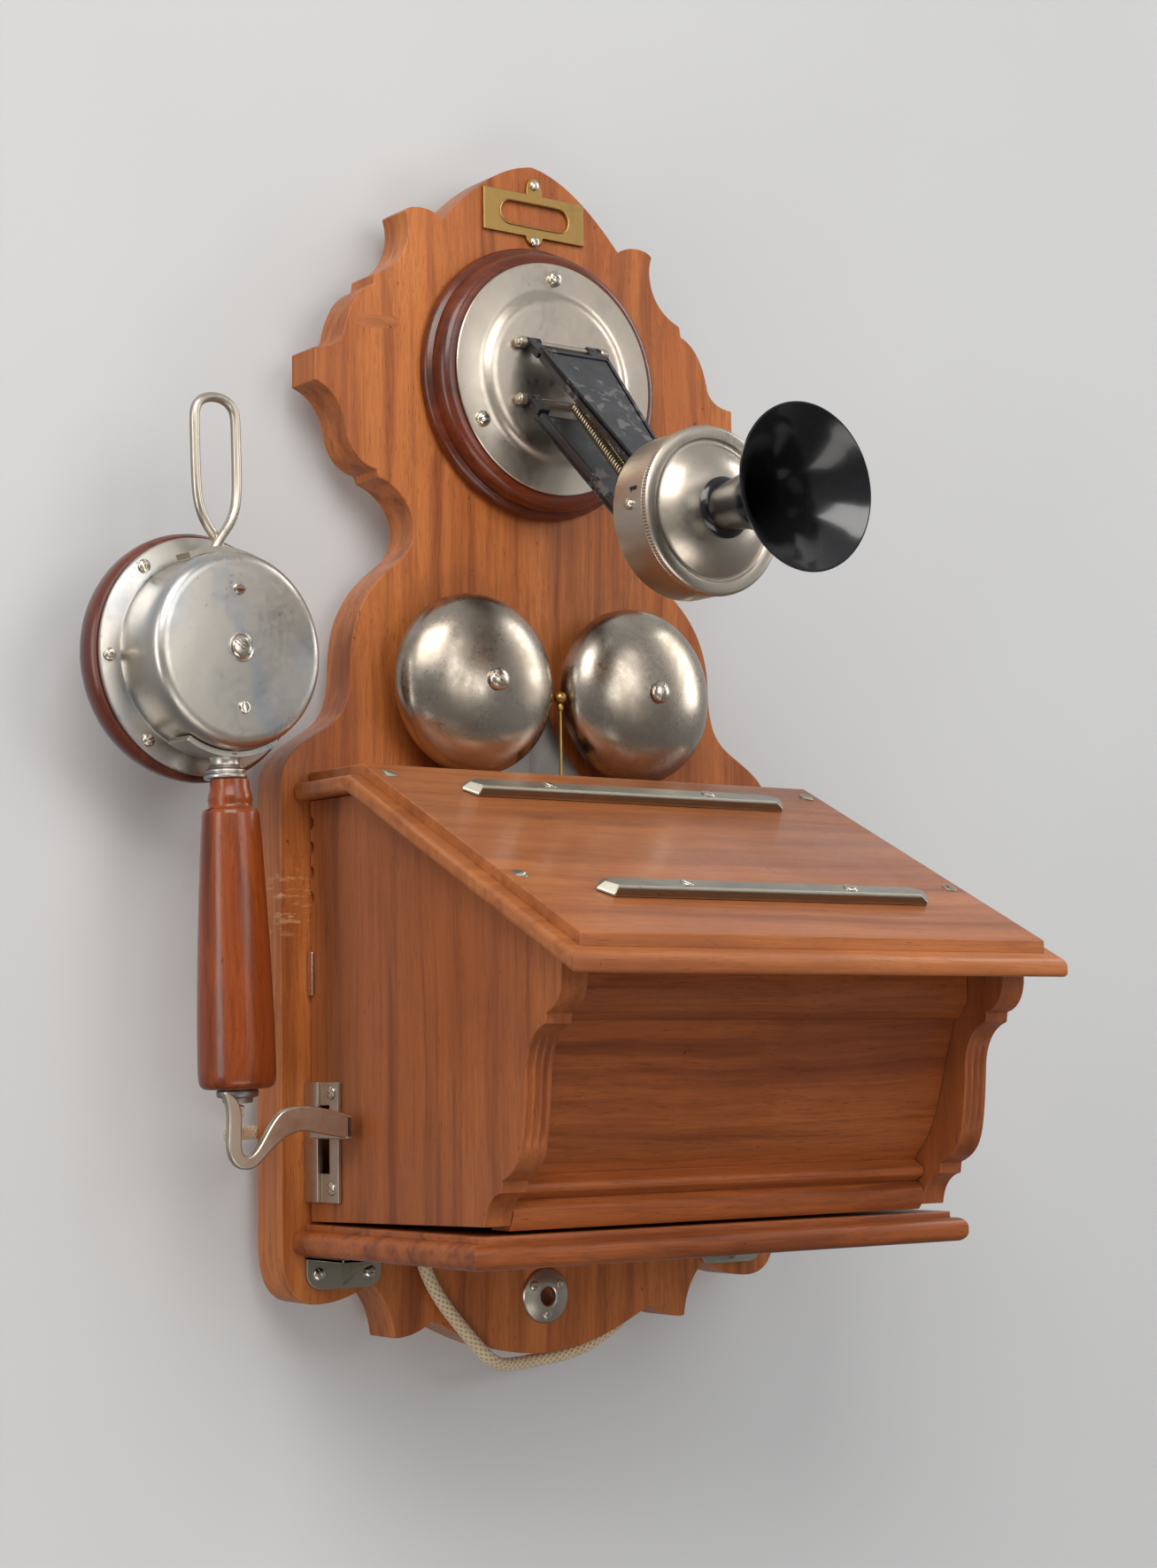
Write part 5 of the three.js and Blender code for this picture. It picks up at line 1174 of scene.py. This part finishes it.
def make_desk():
    """The desk is a tread on a wider board with a rounded edge. Both are bent over the same line."""
    tread = desk_layer(SIDE, DESK_FRONT, 0.0, 5.3, 0.0)
    lower = desk_layer(132.8, DESK_FRONT - 6, 5.0, 12.5, 2.6)
    piece("desk_tread", tread, desk_wood, "housing", "desk_top", 0.6, 2)
    piece("desk_edge", lower, desk_wood, "housing", (), 0.25, 2)
    tilt = Matrix.Rotation(DESK_SLOPE, 4, "X")
    for i, (x, y) in enumerate(((-117.5, -84), (117.5, -84), (-117.5, -181), (117.5, -181))):
        head = moved(screw(3.6, 0.7, 35 + 40 * i, 0.8, 0.5, False), tilt, at(x, y, desk_height(y) - 0.35))
        piece(f"desk_screw_{i}", head, bar_nickel, "housing", ())


def make_paper_bar(node, down):
    """A strip with bevelled long edges and mitred ends, held by two screws, so far down the slope."""
    half, width, height = 90.0, 6.5, 4.5
    tip = half - 5
    plan = [(-tip, -width), (tip, -width), (half, 0), (tip, width), (-tip, width), (-half, 0)]
    shape = bmesh.new()
    base = shape.faces.new([shape.verts.new((x * MM, y * MM, 0.3 * MM)) for x, y in plan])
    raised = bmesh.ops.extrude_face_region(shape, geom=[base], use_keep_orig=True)
    bmesh.ops.translate(shape, vec=(0, 0, 1.5 * MM), verts=verts_of(raised))
    face = [part for part in raised["geom"] if isinstance(part, bmesh.types.BMFace)]
    for vert in verts_of(bmesh.ops.extrude_face_region(shape, geom=face)):
        vert.co.z = height * MM
        vert.co.y *= 0.58
        vert.co.x *= 1 - 3.2 / 90
    bmesh.ops.recalc_face_normals(shape, faces=shape.faces)
    y = DESK_BEND - down * math.cos(DESK_SLOPE)
    place = at(0, y, desk_height(y)) @ Matrix.Rotation(DESK_SLOPE, 4, "X")
    piece(node + "_strip", moved(shape, place), bar_nickel, "housing", node, 0.25)
    for i, x in enumerate((-44.5, 44.5)):
        head = moved(screw(3.3, 0.9, 25 + 70 * i, 0.8, 0.6, False), at(x, 0, height - 0.35), place)
        add_screw(f"{node}_screw_{i}", head, "housing")


def make_shelf():
    """The shelf: a thin tread on a board with a rounded edge."""
    half, front, top, back = SIDE + 9, HOUSING_FRONT - 7, SHELF_TOP, BOARD_FACE - 0.3
    lower = block(-half, half, back, front, top - 13.3, top - 2.8)
    outer = [e for e in lower.edges if is_level(e) and not all(v.co.y / MM > front + 5 for v in e.verts)]
    ease(lower, outer, 4.2, 8)
    piece("shelf_rounded", lower, front_wood, "wall_side", "base_shelf", 0.2)
    tread = block(-SIDE - 3, SIDE + 3, back, HOUSING_FRONT - 1.5, top - 3.4, top, 0.5)
    piece("shelf_tread", tread, front_wood, "wall_side", ())


def make_shelf_angle(side):
    """An angle bracket under the shelf, with a rib and two screws into the board."""
    name = "left" if side < 0 else "right"
    x, z, back = side * 109, SHELF_TOP - 13.6, BOARD_FACE - 0.3
    wall = front_slab(
        outline((-19, 0), (19, 0), (19, -9), (18, -14, 12, -15), (-12, -15), (-18, -14, -19, -9)), 0, -2
    )
    foot = block(-19, 19, 0, -32, -2, 0, 0.35)
    rib = side_slab(outline((-1, -1), (-30, -1), (-30, -2.6), (-12, -5, -1, -14)), -1.5, 1.5)
    angle = moved(together(wall, foot, rib), at(x, back, z))
    piece("shelf_angle_" + name, angle, bar_nickel, "wall_side", "shelf_bracket_" + name, 0.3)
    for i, dx in enumerate((-13, 13)):
        head = front_screw(x + dx, back - 2, z - 8.4, 2.9, 1.4, 30 + 60 * i)
        add_screw(f"shelf_angle_screw_{name}_{i}", head, "wall_side")


def make_latch():
    bright = block(-SIDE - 1.7, -SIDE - 0.3, HOUSING_REAR, HOUSING_REAR - 4, -289.5, -270.5, 0.4)
    piece("latch_bar", bright, screw_nickel, "housing", "latch_plate")


# ---------------------------------------------------------------- hook


def make_hook_plates():
    x = -SIDE - 0.3
    plate = [
        (-40.8, -337.5), (-40.8, -327.5), (-55.8, -327.5), (-55.8, -379.5), (-40.8, -379.5),
        (-40.8, -367), (-48.4, -367), (-48.4, -337.5),
    ]
    piece(
        "hook_plate_slotted", side_slab(plate, x - 1.6, x), lever_nickel, "housing", "hook_slot_plate",
        0.3,
    )
    for i, z in enumerate((-332, -373.2)):
        head = moved(
            screw(3.1, 1.3, 50 - 80 * i), Matrix.Rotation(math.radians(-90), 4, "Y"),
            at(x - 1.6, -50, z),
        )
        add_screw(f"hook_plate_screw_{i}", head, "housing")
    strip = block(-SIDE - 3.2, -SIDE - 0.4, BOARD_FACE - 0.3, -40.5, -379.5, -327.5, 0.3)
    piece("hook_guide", strip, lever_nickel, "wall_side", "hook_guide_strip")


def make_hook():
    x, z = HAND_X, LEVER_Z
    root, front, t = -130.8, -72.5, 1.9
    arm = outline(
        (root, z + 4.5), (x + 33, z + 8.5, x + 22, z + 11.5, x + 14, z + 6.5),
        (x + 7, z + 1, x + 4, z - 11.3, x - 1.9, z - 11.3),
        (x - 6, z - 11.3, x - 4.2, z - 1, x - 4.6, z + 6),
        (x - 5.4, z + 12.5, x - 8.5, z + 14, x - 11.4, z + 15.8), (x - 13.4, z + 15.2),
        (x - 9.5, z + 9, x - 10.5, z + 3, x - 10.8, z - 6),
        (x - 10.6, z - 16.9, x - 1, z - 20, x + 5, z - 13.5),
        (x + 12, z - 6.5, x + 18, z - 1, x + 27, z - 1.6), (root, z - 5.6),
    )
    hook = front_slab(arm, front + t, front - t)
    step = block(root - 3.4, root, -42.7, front - t, z - 5.6, z + 4.6)
    pivot_hole = arc((-70, z), 2.9, 0, 345, 23)
    blade = [(root - 3.4, z - 5.6), (-45, z - 4), (-45, z + 4), (root - 3.4, z + 4.6)]
    tail = front_slab(blade, -42.7, -46.3, [pivot_hole])
    piece(
        "hook_lever_forged", together(hook, step, tail), lever_nickel, "hook", "hook_lever",
        0.9, 3,
    )


# ---------------------------------------------------------------- receiver


def strap_outline(start, end, outer, inner=CASE_RADIUS + 0.3):
    return arc((0, CASE_Z), outer, start, end, 20) + arc((0, CASE_Z), inner, end, start, 20)


def make_grip():
    profile = [
        (0, 0), (12.6, 0), (14.4, 0.5), (15.6, 1.6), (16.2, 3.4), (16.4, 7), (16.4, 14), (16.2, 30),
        (15.4, 55), (14.3, 80), (13.0, 104), (12.2, 115), (11.9, 116.6), (11.2, 117.4), (9.9, 117.8),
        (9.3, 118.6), (9.2, 120), (9.6, 121.4), (9.3, 123.4), (8.5, 126), (8.2, 130), (0, 130),
    ]
    grip = moved(spun(profile, 96), HANDSET)
    piece("receiver_grip", grip, handle_wood, "receiver", "receiver_handle")
    ferrule = [
        (0, -5.9), (4.6, -5.9), (6.2, -5.6), (6.4, -4.8), (6.4, -3.7), (7.8, -3.5), (8.7, -3.0),
        (8.9, -2.2), (8.9, -0.9), (8.5, -0.3), (0, -0.3),
    ]
    foot = moved(spun(ferrule, 64), HANDSET)
    piece("receiver_ferrule_turned", foot, steel, "receiver", "receiver_ferrule")


def make_collar():
    """The turned neck between handle and case, with a saddle round the case."""
    profile = [
        (0, 130.3), (8.5, 130.3), (9.2, 130.9), (9.3, 132.0), (8.7, 132.7), (8.2, 133.0), (8.7, 133.5),
        (8.6, 134.3), (7.3, 135.0), (6.3, 136.6), (6.2, 138.5), (7.0, 140.4), (7.4, 141.2), (0, 141.2),
    ]
    saddle = front_slab(strap_outline(-90 - 31, -90 + 31, 45.3), 11, -4)
    shape = moved(together(moved(spun(profile, 64), at(0, 3, 0)), saddle), HANDSET)
    piece("receiver_collar_turned", shape, disc_nickel, "receiver", "receiver_collar", 0.25)


def make_case():
    f, b = CASE_FRONT, CASE_BACK
    profile = [
        (0, f), (36.4, f), (38.6, f - 0.3), (40.2, f - 1.1), (41.4, f - 2.4), (42.1, f - 4.2),
        (CASE_RADIUS, f - 6), (41.9, f - 12), (41.5, b + 6), (41.3, b + 1.6), (41.8, b + 0.5), (43, b),
        (50.6, b), (51.3, b - 0.3), (51.5, b - 0.9), (51.3, b - 1.7), (50.6, b - 2), (38.9, b - 2),
        (38.9, f - 2.5), (0, f - 2.5),
    ]
    shell = moved(spun(profile, 160), TO_FRONT, HANDSET @ at(0, 0, CASE_Z))
    piece("receiver_shell", shell, disc_nickel, "receiver", "receiver_case")


def make_ear_cap():
    """The turned ear cap on the wall side, open in the middle, with the diaphragm behind it."""
    near, far = CAP_NEAR, CAP_FAR
    profile = [
        (38, near), (50.4, near), (52.4, near - 0.5), (53.6, near - 1.9), (53.9, near - 4),
        (53.8, near - 6.5), (53.2, near - 9.5), (52.0, near - 12.6), (50.0, near - 15.2), (48.0, far),
        (46, far), (43.4, far + 0.5), (38, far + 2.4), (30, far + 4.6), (20, far + 6.1), (11, far + 6.7),
        (9, far + 7.0), (8.2, far + 8), (8, near - 3.5), (38, near - 3.5),
    ]
    middle = HANDSET @ at(0, 0, CASE_Z)
    cap = moved(spun(profile, 160), TO_FRONT, middle)
    piece("ear_cap_turned", cap, cap_wood, "receiver", "ear_cap")
    # The diaphragm behind the cap's opening is drawn near black: painted shade.
    plate = [(0, near - 3.2), (37.6, near - 3.2), (37.6, near - 2.4), (0, near - 2.4)]
    disc = moved(spun(plate, 64), TO_FRONT, middle)
    piece("receiver_diaphragm", disc, shade_black, "receiver", ())


def make_case_screws():
    """A large screw in its seat at the middle of the disc, two small ones, and six round the flange."""
    f = CASE_FRONT
    for i, (radius, x, z, turn) in enumerate(
        ((4.9, -0.5, 0.5, 52), (2.7, -0.8, 25.5, 90), (2.7, 0.2, -24.8, 10))
    ):
        large = radius > 4
        head = screw(radius, 1.5 if large else 0.9, turn, radius * 0.27, 1.0 if large else 0.6, large)
        place = at(x, -f - 0.05, CASE_Z + z)
        add_screw(f"case_screw_{i}", moved(head, TO_FRONT, place, HANDSET), "receiver")
    seat = spun([(5.2, f - 0.2), (6.3, f - 0.2), (6.3, f + 0.25), (5.8, f + 0.45), (5.2, f + 0.1)], 64)
    moved(seat, TO_FRONT, at(-0.5, 0, CASE_Z + 0.5), HANDSET)
    piece("case_screw_seat", seat, disc_nickel, "receiver", ())
    for i, angle in enumerate((128, 182, 232, 308, 0, 52)):
        x, z = 47 * math.cos(math.radians(angle)), 47 * math.sin(math.radians(angle))
        head = front_screw(x, -CASE_BACK - 0.1, CASE_Z + z, 2.9, 1.8, 20 + 47 * i)
        add_screw(f"flange_screw_{i}", moved(head, HANDSET), "receiver")


def make_loop():
    """The bent wire that the receiver could be hung by, on a strap over the case."""
    top, half = CASE_Z + CASE_RADIUS + 2.2, 10.5
    ring = [
        (3.2, 5.2, top - 1.0), (2.2, 5.2, top + 1.5), (-1.6, 5.0, top + 6.5), (-6.4, 4.6, top + 12),
        (-half + 0.6, 4.3, top + 20), (-half, 4, top + 34), (-half, 4, 278), (-half, 4, 284),
        (-half + 0.3, 4, 290), (-half * 0.6, 4, 294.0), (0, 4, 295.2), (half * 0.6, 4, 294.0),
        (half - 0.3, 4, 290), (half, 4, 284), (half, 4, 278), (half, 4, top + 34),
        (half - 0.6, 3.7, top + 20), (6.4, 3.4, top + 12), (1.6, 3.0, top + 6.5),
        (-2.2, 2.8, top + 1.5), (-3.2, 2.8, top - 1.0),
    ]
    strap = front_slab(strap_outline(66, 114, 45.1), 9, -1)
    loop = moved(together(wire(ring, 2.15, 20), strap), HANDSET)
    piece("hanging_loop_bent", loop, nickel, "receiver", "hanging_loop")


# ---------------------------------------------------------------- crank, hinges and works


def make_crank():
    """The bent lever on the shaft, and its wooden knob."""
    x, y, z, throw = SIDE + 7, CRANK_Y, CRANK_Z, 52
    arm = [(-9, 0)] + arc((0, 0), 9, 180, 0, 16)[1:]
    arm += curve((9, 0), (6, -13), (5, -26), (6.5, -throw), 10) + arc((0, -throw), 6.5, 0, -180, 14)[1:]
    arm += curve((-6.5, -throw), (-5, -26), (-6, -13), (-9, 0), 10)[:-1]
    lever = side_slab([(y + a, z + b) for a, b in arm], x, x + 5)
    hub = [
        (0, x - 6.4), (5.2, x - 6.4), (5.2, x), (7.4, x + 0.4), (7.4, x + 5.4), (6.8, x + 6.0), (0, x + 6.0),
    ]
    boss = moved(spun(hub, 40), TO_RIGHT, at(0, y, z))
    piece("crank_lever", together(lever, boss), nickel, "crank", "crank_arm", 0.5, 2)
    x += 5.3
    knob = [
        (0, x), (6.6, x), (7.4, x + 0.8), (8.0, x + 2.2), (7.5, x + 4.2), (7.2, x + 6.2), (7.8, x + 9.5),
        (9.2, x + 14), (9.9, x + 19), (10, x + 24), (9.6, x + 28.6), (8.4, x + 32.4), (6, x + 35.4),
        (3, x + 36.8), (0, x + 37),
    ]
    grip = moved(spun(knob, 64), TO_RIGHT, at(0, y, z - throw))
    piece("crank_grip", grip, handle_wood, "crank", "crank_knob")
    head = moved(screw(2.6, 1.2, 30), at(0, 0, x + 36.8 - 0.4), TO_RIGHT, at(0, y, z - throw))
    add_screw("crank_grip_screw", head, "crank")


def make_hinges():
    for name, z in (("upper", -262), ("lower", -352)):
        back = BOARD_FACE - 0.3
        leaf = together(
            block(SIDE + 1.6, 139, back, back - 1.8, z - 15, z + 15, 0.3),
            block(133, 136, back - 1, HINGE_Y, z - 4.6, z + 4.6, 0.2),
            moved(bar(3, -4.6, 4.6, 0.3, 32), at(HINGE_X, HINGE_Y, z)),
            moved(bar(1.3, -15.2, 15.2, 0.3, 20), at(HINGE_X, HINGE_Y, z)),
        )
        piece("hinge_on_board_" + name, leaf, brass, "wall_side", "board_leaf_" + name)
        wing = together(
            block(SIDE + 0.3, SIDE + 2, -37.8, -54.8, z - 15, z + 15, 0.3),
            block(SIDE + 0.3, HINGE_X, -37.8, -36.4, z + 5, z + 15, 0.2),
            block(SIDE + 0.3, HINGE_X, -37.8, -36.4, z - 15, z - 5, 0.2),
            moved(
                spun([(1.7, 5), (2.7, 5), (3, 5.3), (3, 14.7), (2.7, 15), (1.7, 15)], 32),
                at(HINGE_X, HINGE_Y, z),
            ),
            moved(
                spun([(1.7, -15), (2.7, -15), (3, -14.7), (3, -5.3), (2.7, -5), (1.7, -5)], 32),
                at(HINGE_X, HINGE_Y, z),
            ),
        )
        piece("hinge_on_door_" + name, wing, brass, "housing", "door_leaf_" + name)
        for i, dz in enumerate((-9, 9)):
            piece(
                f"hinge_screw_{name}_{i}",
                moved(screw(2.2, 0.9, 40 + 50 * i), TO_RIGHT, at(SIDE + 2, -48, z + dz)), brass,
                "housing", (),
            )


def finish_inner_nodes():
    """The nodes kept as they are get their metal or wood."""
    repaint(steel, "receiver_magnet", "generator_armature")
    repaint(brass, "hook_bracket", "hook_contacts", "carbon_button", "crank_gear")
    repaint(brass, "generator_plate_left", "generator_plate_right")
    repaint(batten_wood, "upper_batten", "lower_batten")
    repaint(handle_wood, "terminal_block")


def make_magnets():
    """Three horseshoe magnets side by side over the armature."""
    x0, x1 = 50.3, 92.7
    y, low, arch = CRANK_Y, -367.7, -329.7
    outer = [(y - 30, low), (y - 30, arch)] + arc((y, arch), 30, 180, 0, 28)[1:] + [(y + 30, low)]
    inner = [(y + 16, low), (y + 16, arch)] + arc((y, arch), 16, 0, 180, 20)[1:] + [(y - 16, low)]
    for i in range(3):
        near = x0 + (x1 - x0) * i / 3 + 0.3
        far = x0 + (x1 - x0) * (i + 1) / 3 - 0.3
        shape = side_slab(outer + inner, near, far)
        node = "generator_magnets" if i == 0 else ()
        piece(f"horseshoe_{i}", shape, magnet_paint, "housing", node, 0.6, 2)


def make_induction_coil():
    place = at(0, -47, -288)
    cheeks = together(
        moved(spun([(0, -60), (17, -60), (17, -56), (0, -56)], 48), TO_RIGHT, place),
        moved(spun([(0, -1), (17, -1), (17, 3), (0, 3)], 48), TO_RIGHT, place),
    )
    piece("induction_coil_cheeks", cheeks, handle_wood, "wall_side", "induction_coil", 0.3)
    profile = [(0, -56), (12.6, -56), (13, -55), (13, -2), (12.6, -1), (0, -1)]
    winding = moved(spun(profile, 64), TO_RIGHT, place)
    piece("induction_coil_winding", winding, green_silk_x, "wall_side", ())


def make_terminals():
    profile = [(0, 0), (3.2, 0), (3.2, 1), (1.4, 1.2), (1.4, 4), (3.0, 4.2), (3.2, 6), (0, 6.4)]
    for i in range(5):
        post = front_turned(profile, 28, -4 + 12 * i, -42.3, -319)
        piece(f"terminal_{i}", post, brass, "wall_side", ())


# ---------------------------------------------------------------- cord

# The cord's middle line: from the shelf round the board's foot, up behind the board,
# and out at its left edge to the foot of the handle.
ROUTE = [
    (-74, -38, -391), (-73.5, -37.5, -400), (-70.5, -36, -409.7), (-65, -34.5, -419),
    (-58.5, -33.4, -427.5), (-50, -32.9, -437), (-41, -32.8, -446.5), (-33, -31.6, -453.2),
    (-24, -28, -457), (-13, -23.5, -457.8), (0, -20.5, -457.4), (15, -19, -456.3), (30, -18, -453.4),
    (42, -16.5, -448.8), (52, -13.6, -444.6), (58.5, -8.6, -442.6), (63, -4.2, -441.8),
    (67, -3.9, -436.5), (69.5, -4, -428), (68, -4, -414), (58, -4, -400), (40, -4, -388),
    (10, -4, -377), (-25, -4, -368), (-60, -4, -361), (-95, -4, -355), (-128, -4, -350.3),
    (-142, -4.8, -349.5), (-152, -13.5, -349.5), (-164, -29, -350), (-172, -42, -350),
    (-177.8, -53, -347.6), (-179.8, -60.2, -342.4), (-179.8, -62, -336.3),
]


def smooth_line(points, each=6):
    """Points on a smooth line through the given ones."""
    ends = [points[0], *points, points[-1]]
    line = []
    for i in range(1, len(ends) - 2):
        a, b, c, d = (Vector(p) for p in ends[i - 1 : i + 3])
        for k in range(each):
            t = k / each
            square = (2 * a - 5 * b + 4 * c - d) * t * t
            cube = (3 * b - a - 3 * c + d) * t**3
            line.append(0.5 * ((2 * b) + (c - a) * t + square + cube))
    line.append(Vector(points[-1]))
    return line


def make_cord():
    radius, sides = 3.05, 20
    line = [p * MM for p in smooth_line(ROUTE)]
    shape = bmesh.new()
    along = shape.loops.layers.uv.new("along")
    angles = [TURN * k / sides for k in range(sides)]
    section = [shape.verts.new((radius * MM * math.cos(a), radius * MM * math.sin(a), 0)) for a in angles]
    loop = [shape.edges.new((section[k], section[(k + 1) % sides])) for k in range(sides)]
    rings, run = [section], [0.0]
    for i in range(1, len(line)):
        grown = bmesh.ops.extrude_edge_only(shape, edges=loop)["geom"]
        loop = [e for e in grown if isinstance(e, bmesh.types.BMEdge)]
        rings.append([v for v in grown if isinstance(v, bmesh.types.BMVert)])
        run.append(run[-1] + (line[i] - line[i - 1]).length)
        bmesh.ops.translate(shape, vec=(0, 0, MM), verts=rings[-1])
    spot, turn_of = {}, {}
    across = Vector((1, 0, 0))
    for i, ring in enumerate(rings):
        ahead = (line[min(i + 1, len(line) - 1)] - line[max(i - 1, 0)]).normalized()
        across = (across - ahead * across.dot(ahead)).normalized()
        third = ahead.cross(across)
        for vert in ring:
            angle = math.atan2(vert.co.y, vert.co.x)
            spot[vert] = line[i] + (across * math.cos(angle) + third * math.sin(angle)) * radius * MM
            turn_of[vert] = (angle / TURN % 1.0, run[i] / (TURN * radius * MM))
    for face in shape.faces:
        shares = [turn_of[corner.vert][0] for corner in face.loops]
        wrap = max(shares) > 0.9 and min(shares) < 0.1
        for corner in face.loops:
            u, v = turn_of[corner.vert]
            corner[along].uv = (u + 1 if wrap and u < 0.5 else u, v)
    for vert, place in spot.items():
        vert.co = place
    bmesh.ops.holes_fill(shape, edges=[e for e in shape.edges if e.is_boundary], sides=sides)
    bmesh.ops.recalc_face_normals(shape, faces=shape.faces)
    made = piece("cord_braided", shape, cotton, "wall_side", "cord", 0, 2, 60)
    return made


# ---------------------------------------------------------------- scene


def make_backdrop():
    """A pale wall just behind the telephone. It shows from the front only, so the back can be seen too."""
    made, tree, skin = start_material("backdrop_paint", (0.66, 0.68, 0.70), 0.0, 0.9)
    skin.inputs["Specular IOR Level"].default_value = 0.1
    clear = add(tree, "BsdfTransparent").outputs[0]
    facing = add(tree, "NewGeometry").outputs["Backfacing"]
    patches = ramp(tree, noise_at(tree, object_place(tree), 3.0, 3), 0.3, 0.7)
    tint = mix_colour(tree, patches, (0.545, 0.545, 0.545), (0.57, 0.57, 0.57))
    tree.links.new(tint, skin.inputs["Base Color"])
    # The wall glows faintly, a little more towards the bottom: painted light.
    parts = add(tree, "SeparateXYZ", None, Vector=object_point(tree))
    painted_glow_downward = ramp(tree, parts.outputs[2], 0.15, -0.65, 0.03, 0.04)
    tree.links.new(painted_glow_downward, skin.inputs["Emission Strength"])
    skin.inputs["Emission Color"].default_value = (1, 1, 1, 1)
    switch = add(tree, "MixShader", None, i0=facing, i1=skin.outputs[0], i2=clear).outputs[0]
    tree.links.new(switch, tree.nodes["Material Output"].inputs["Surface"])
    shape = bmesh.new()
    bmesh.ops.create_grid(shape, x_segments=1, y_segments=1, size=4.0)
    moved(shape, TO_FRONT, at(0, 4, 0))
    mesh = bpy.data.meshes.new("backdrop")
    shape.to_mesh(mesh)
    shape.free()
    mesh.materials.append(made)
    wall = bpy.data.objects.new("backdrop", mesh)
    wall.visible_diffuse = wall.visible_glossy = wall.visible_shadow = False
    bpy.context.scene.collection.objects.link(wall)


set_camera()
set_light()
make_backdrop()
make_cord()
make_board()
make_frame()
make_escutcheon()
make_rosette()
make_base_plate()
make_arm_pin("upper_arm_pin", PIN_SPREAD)
make_arm_pin("lower_arm_pin", -PIN_SPREAD)
make_arm("upper_arm", "upper_arm", PIN_SPREAD, 1)
make_arm("lower_arm", "lower_arm", -PIN_SPREAD, -1)
make_spring()
make_drum()
make_face()
make_horn()
make_catch()
make_diaphragm()
make_gong(-1)
make_gong(1)
make_ringer_plate()
make_clapper()
make_ringer_coils()
make_side(-1)
make_side(1)
make_front()
make_desk()
make_paper_bar("paper_bar_upper", 27)
make_paper_bar("paper_bar_lower", 135)
make_shelf()
make_shelf_angle(-1)
make_shelf_angle(1)
make_latch()
make_hook_plates()
make_hook()
make_grip()
make_collar()
make_case()
make_ear_cap()
make_case_screws()
make_loop()
make_crank()
make_hinges()
finish_inner_nodes()
make_magnets()
make_induction_coil()
make_terminals()
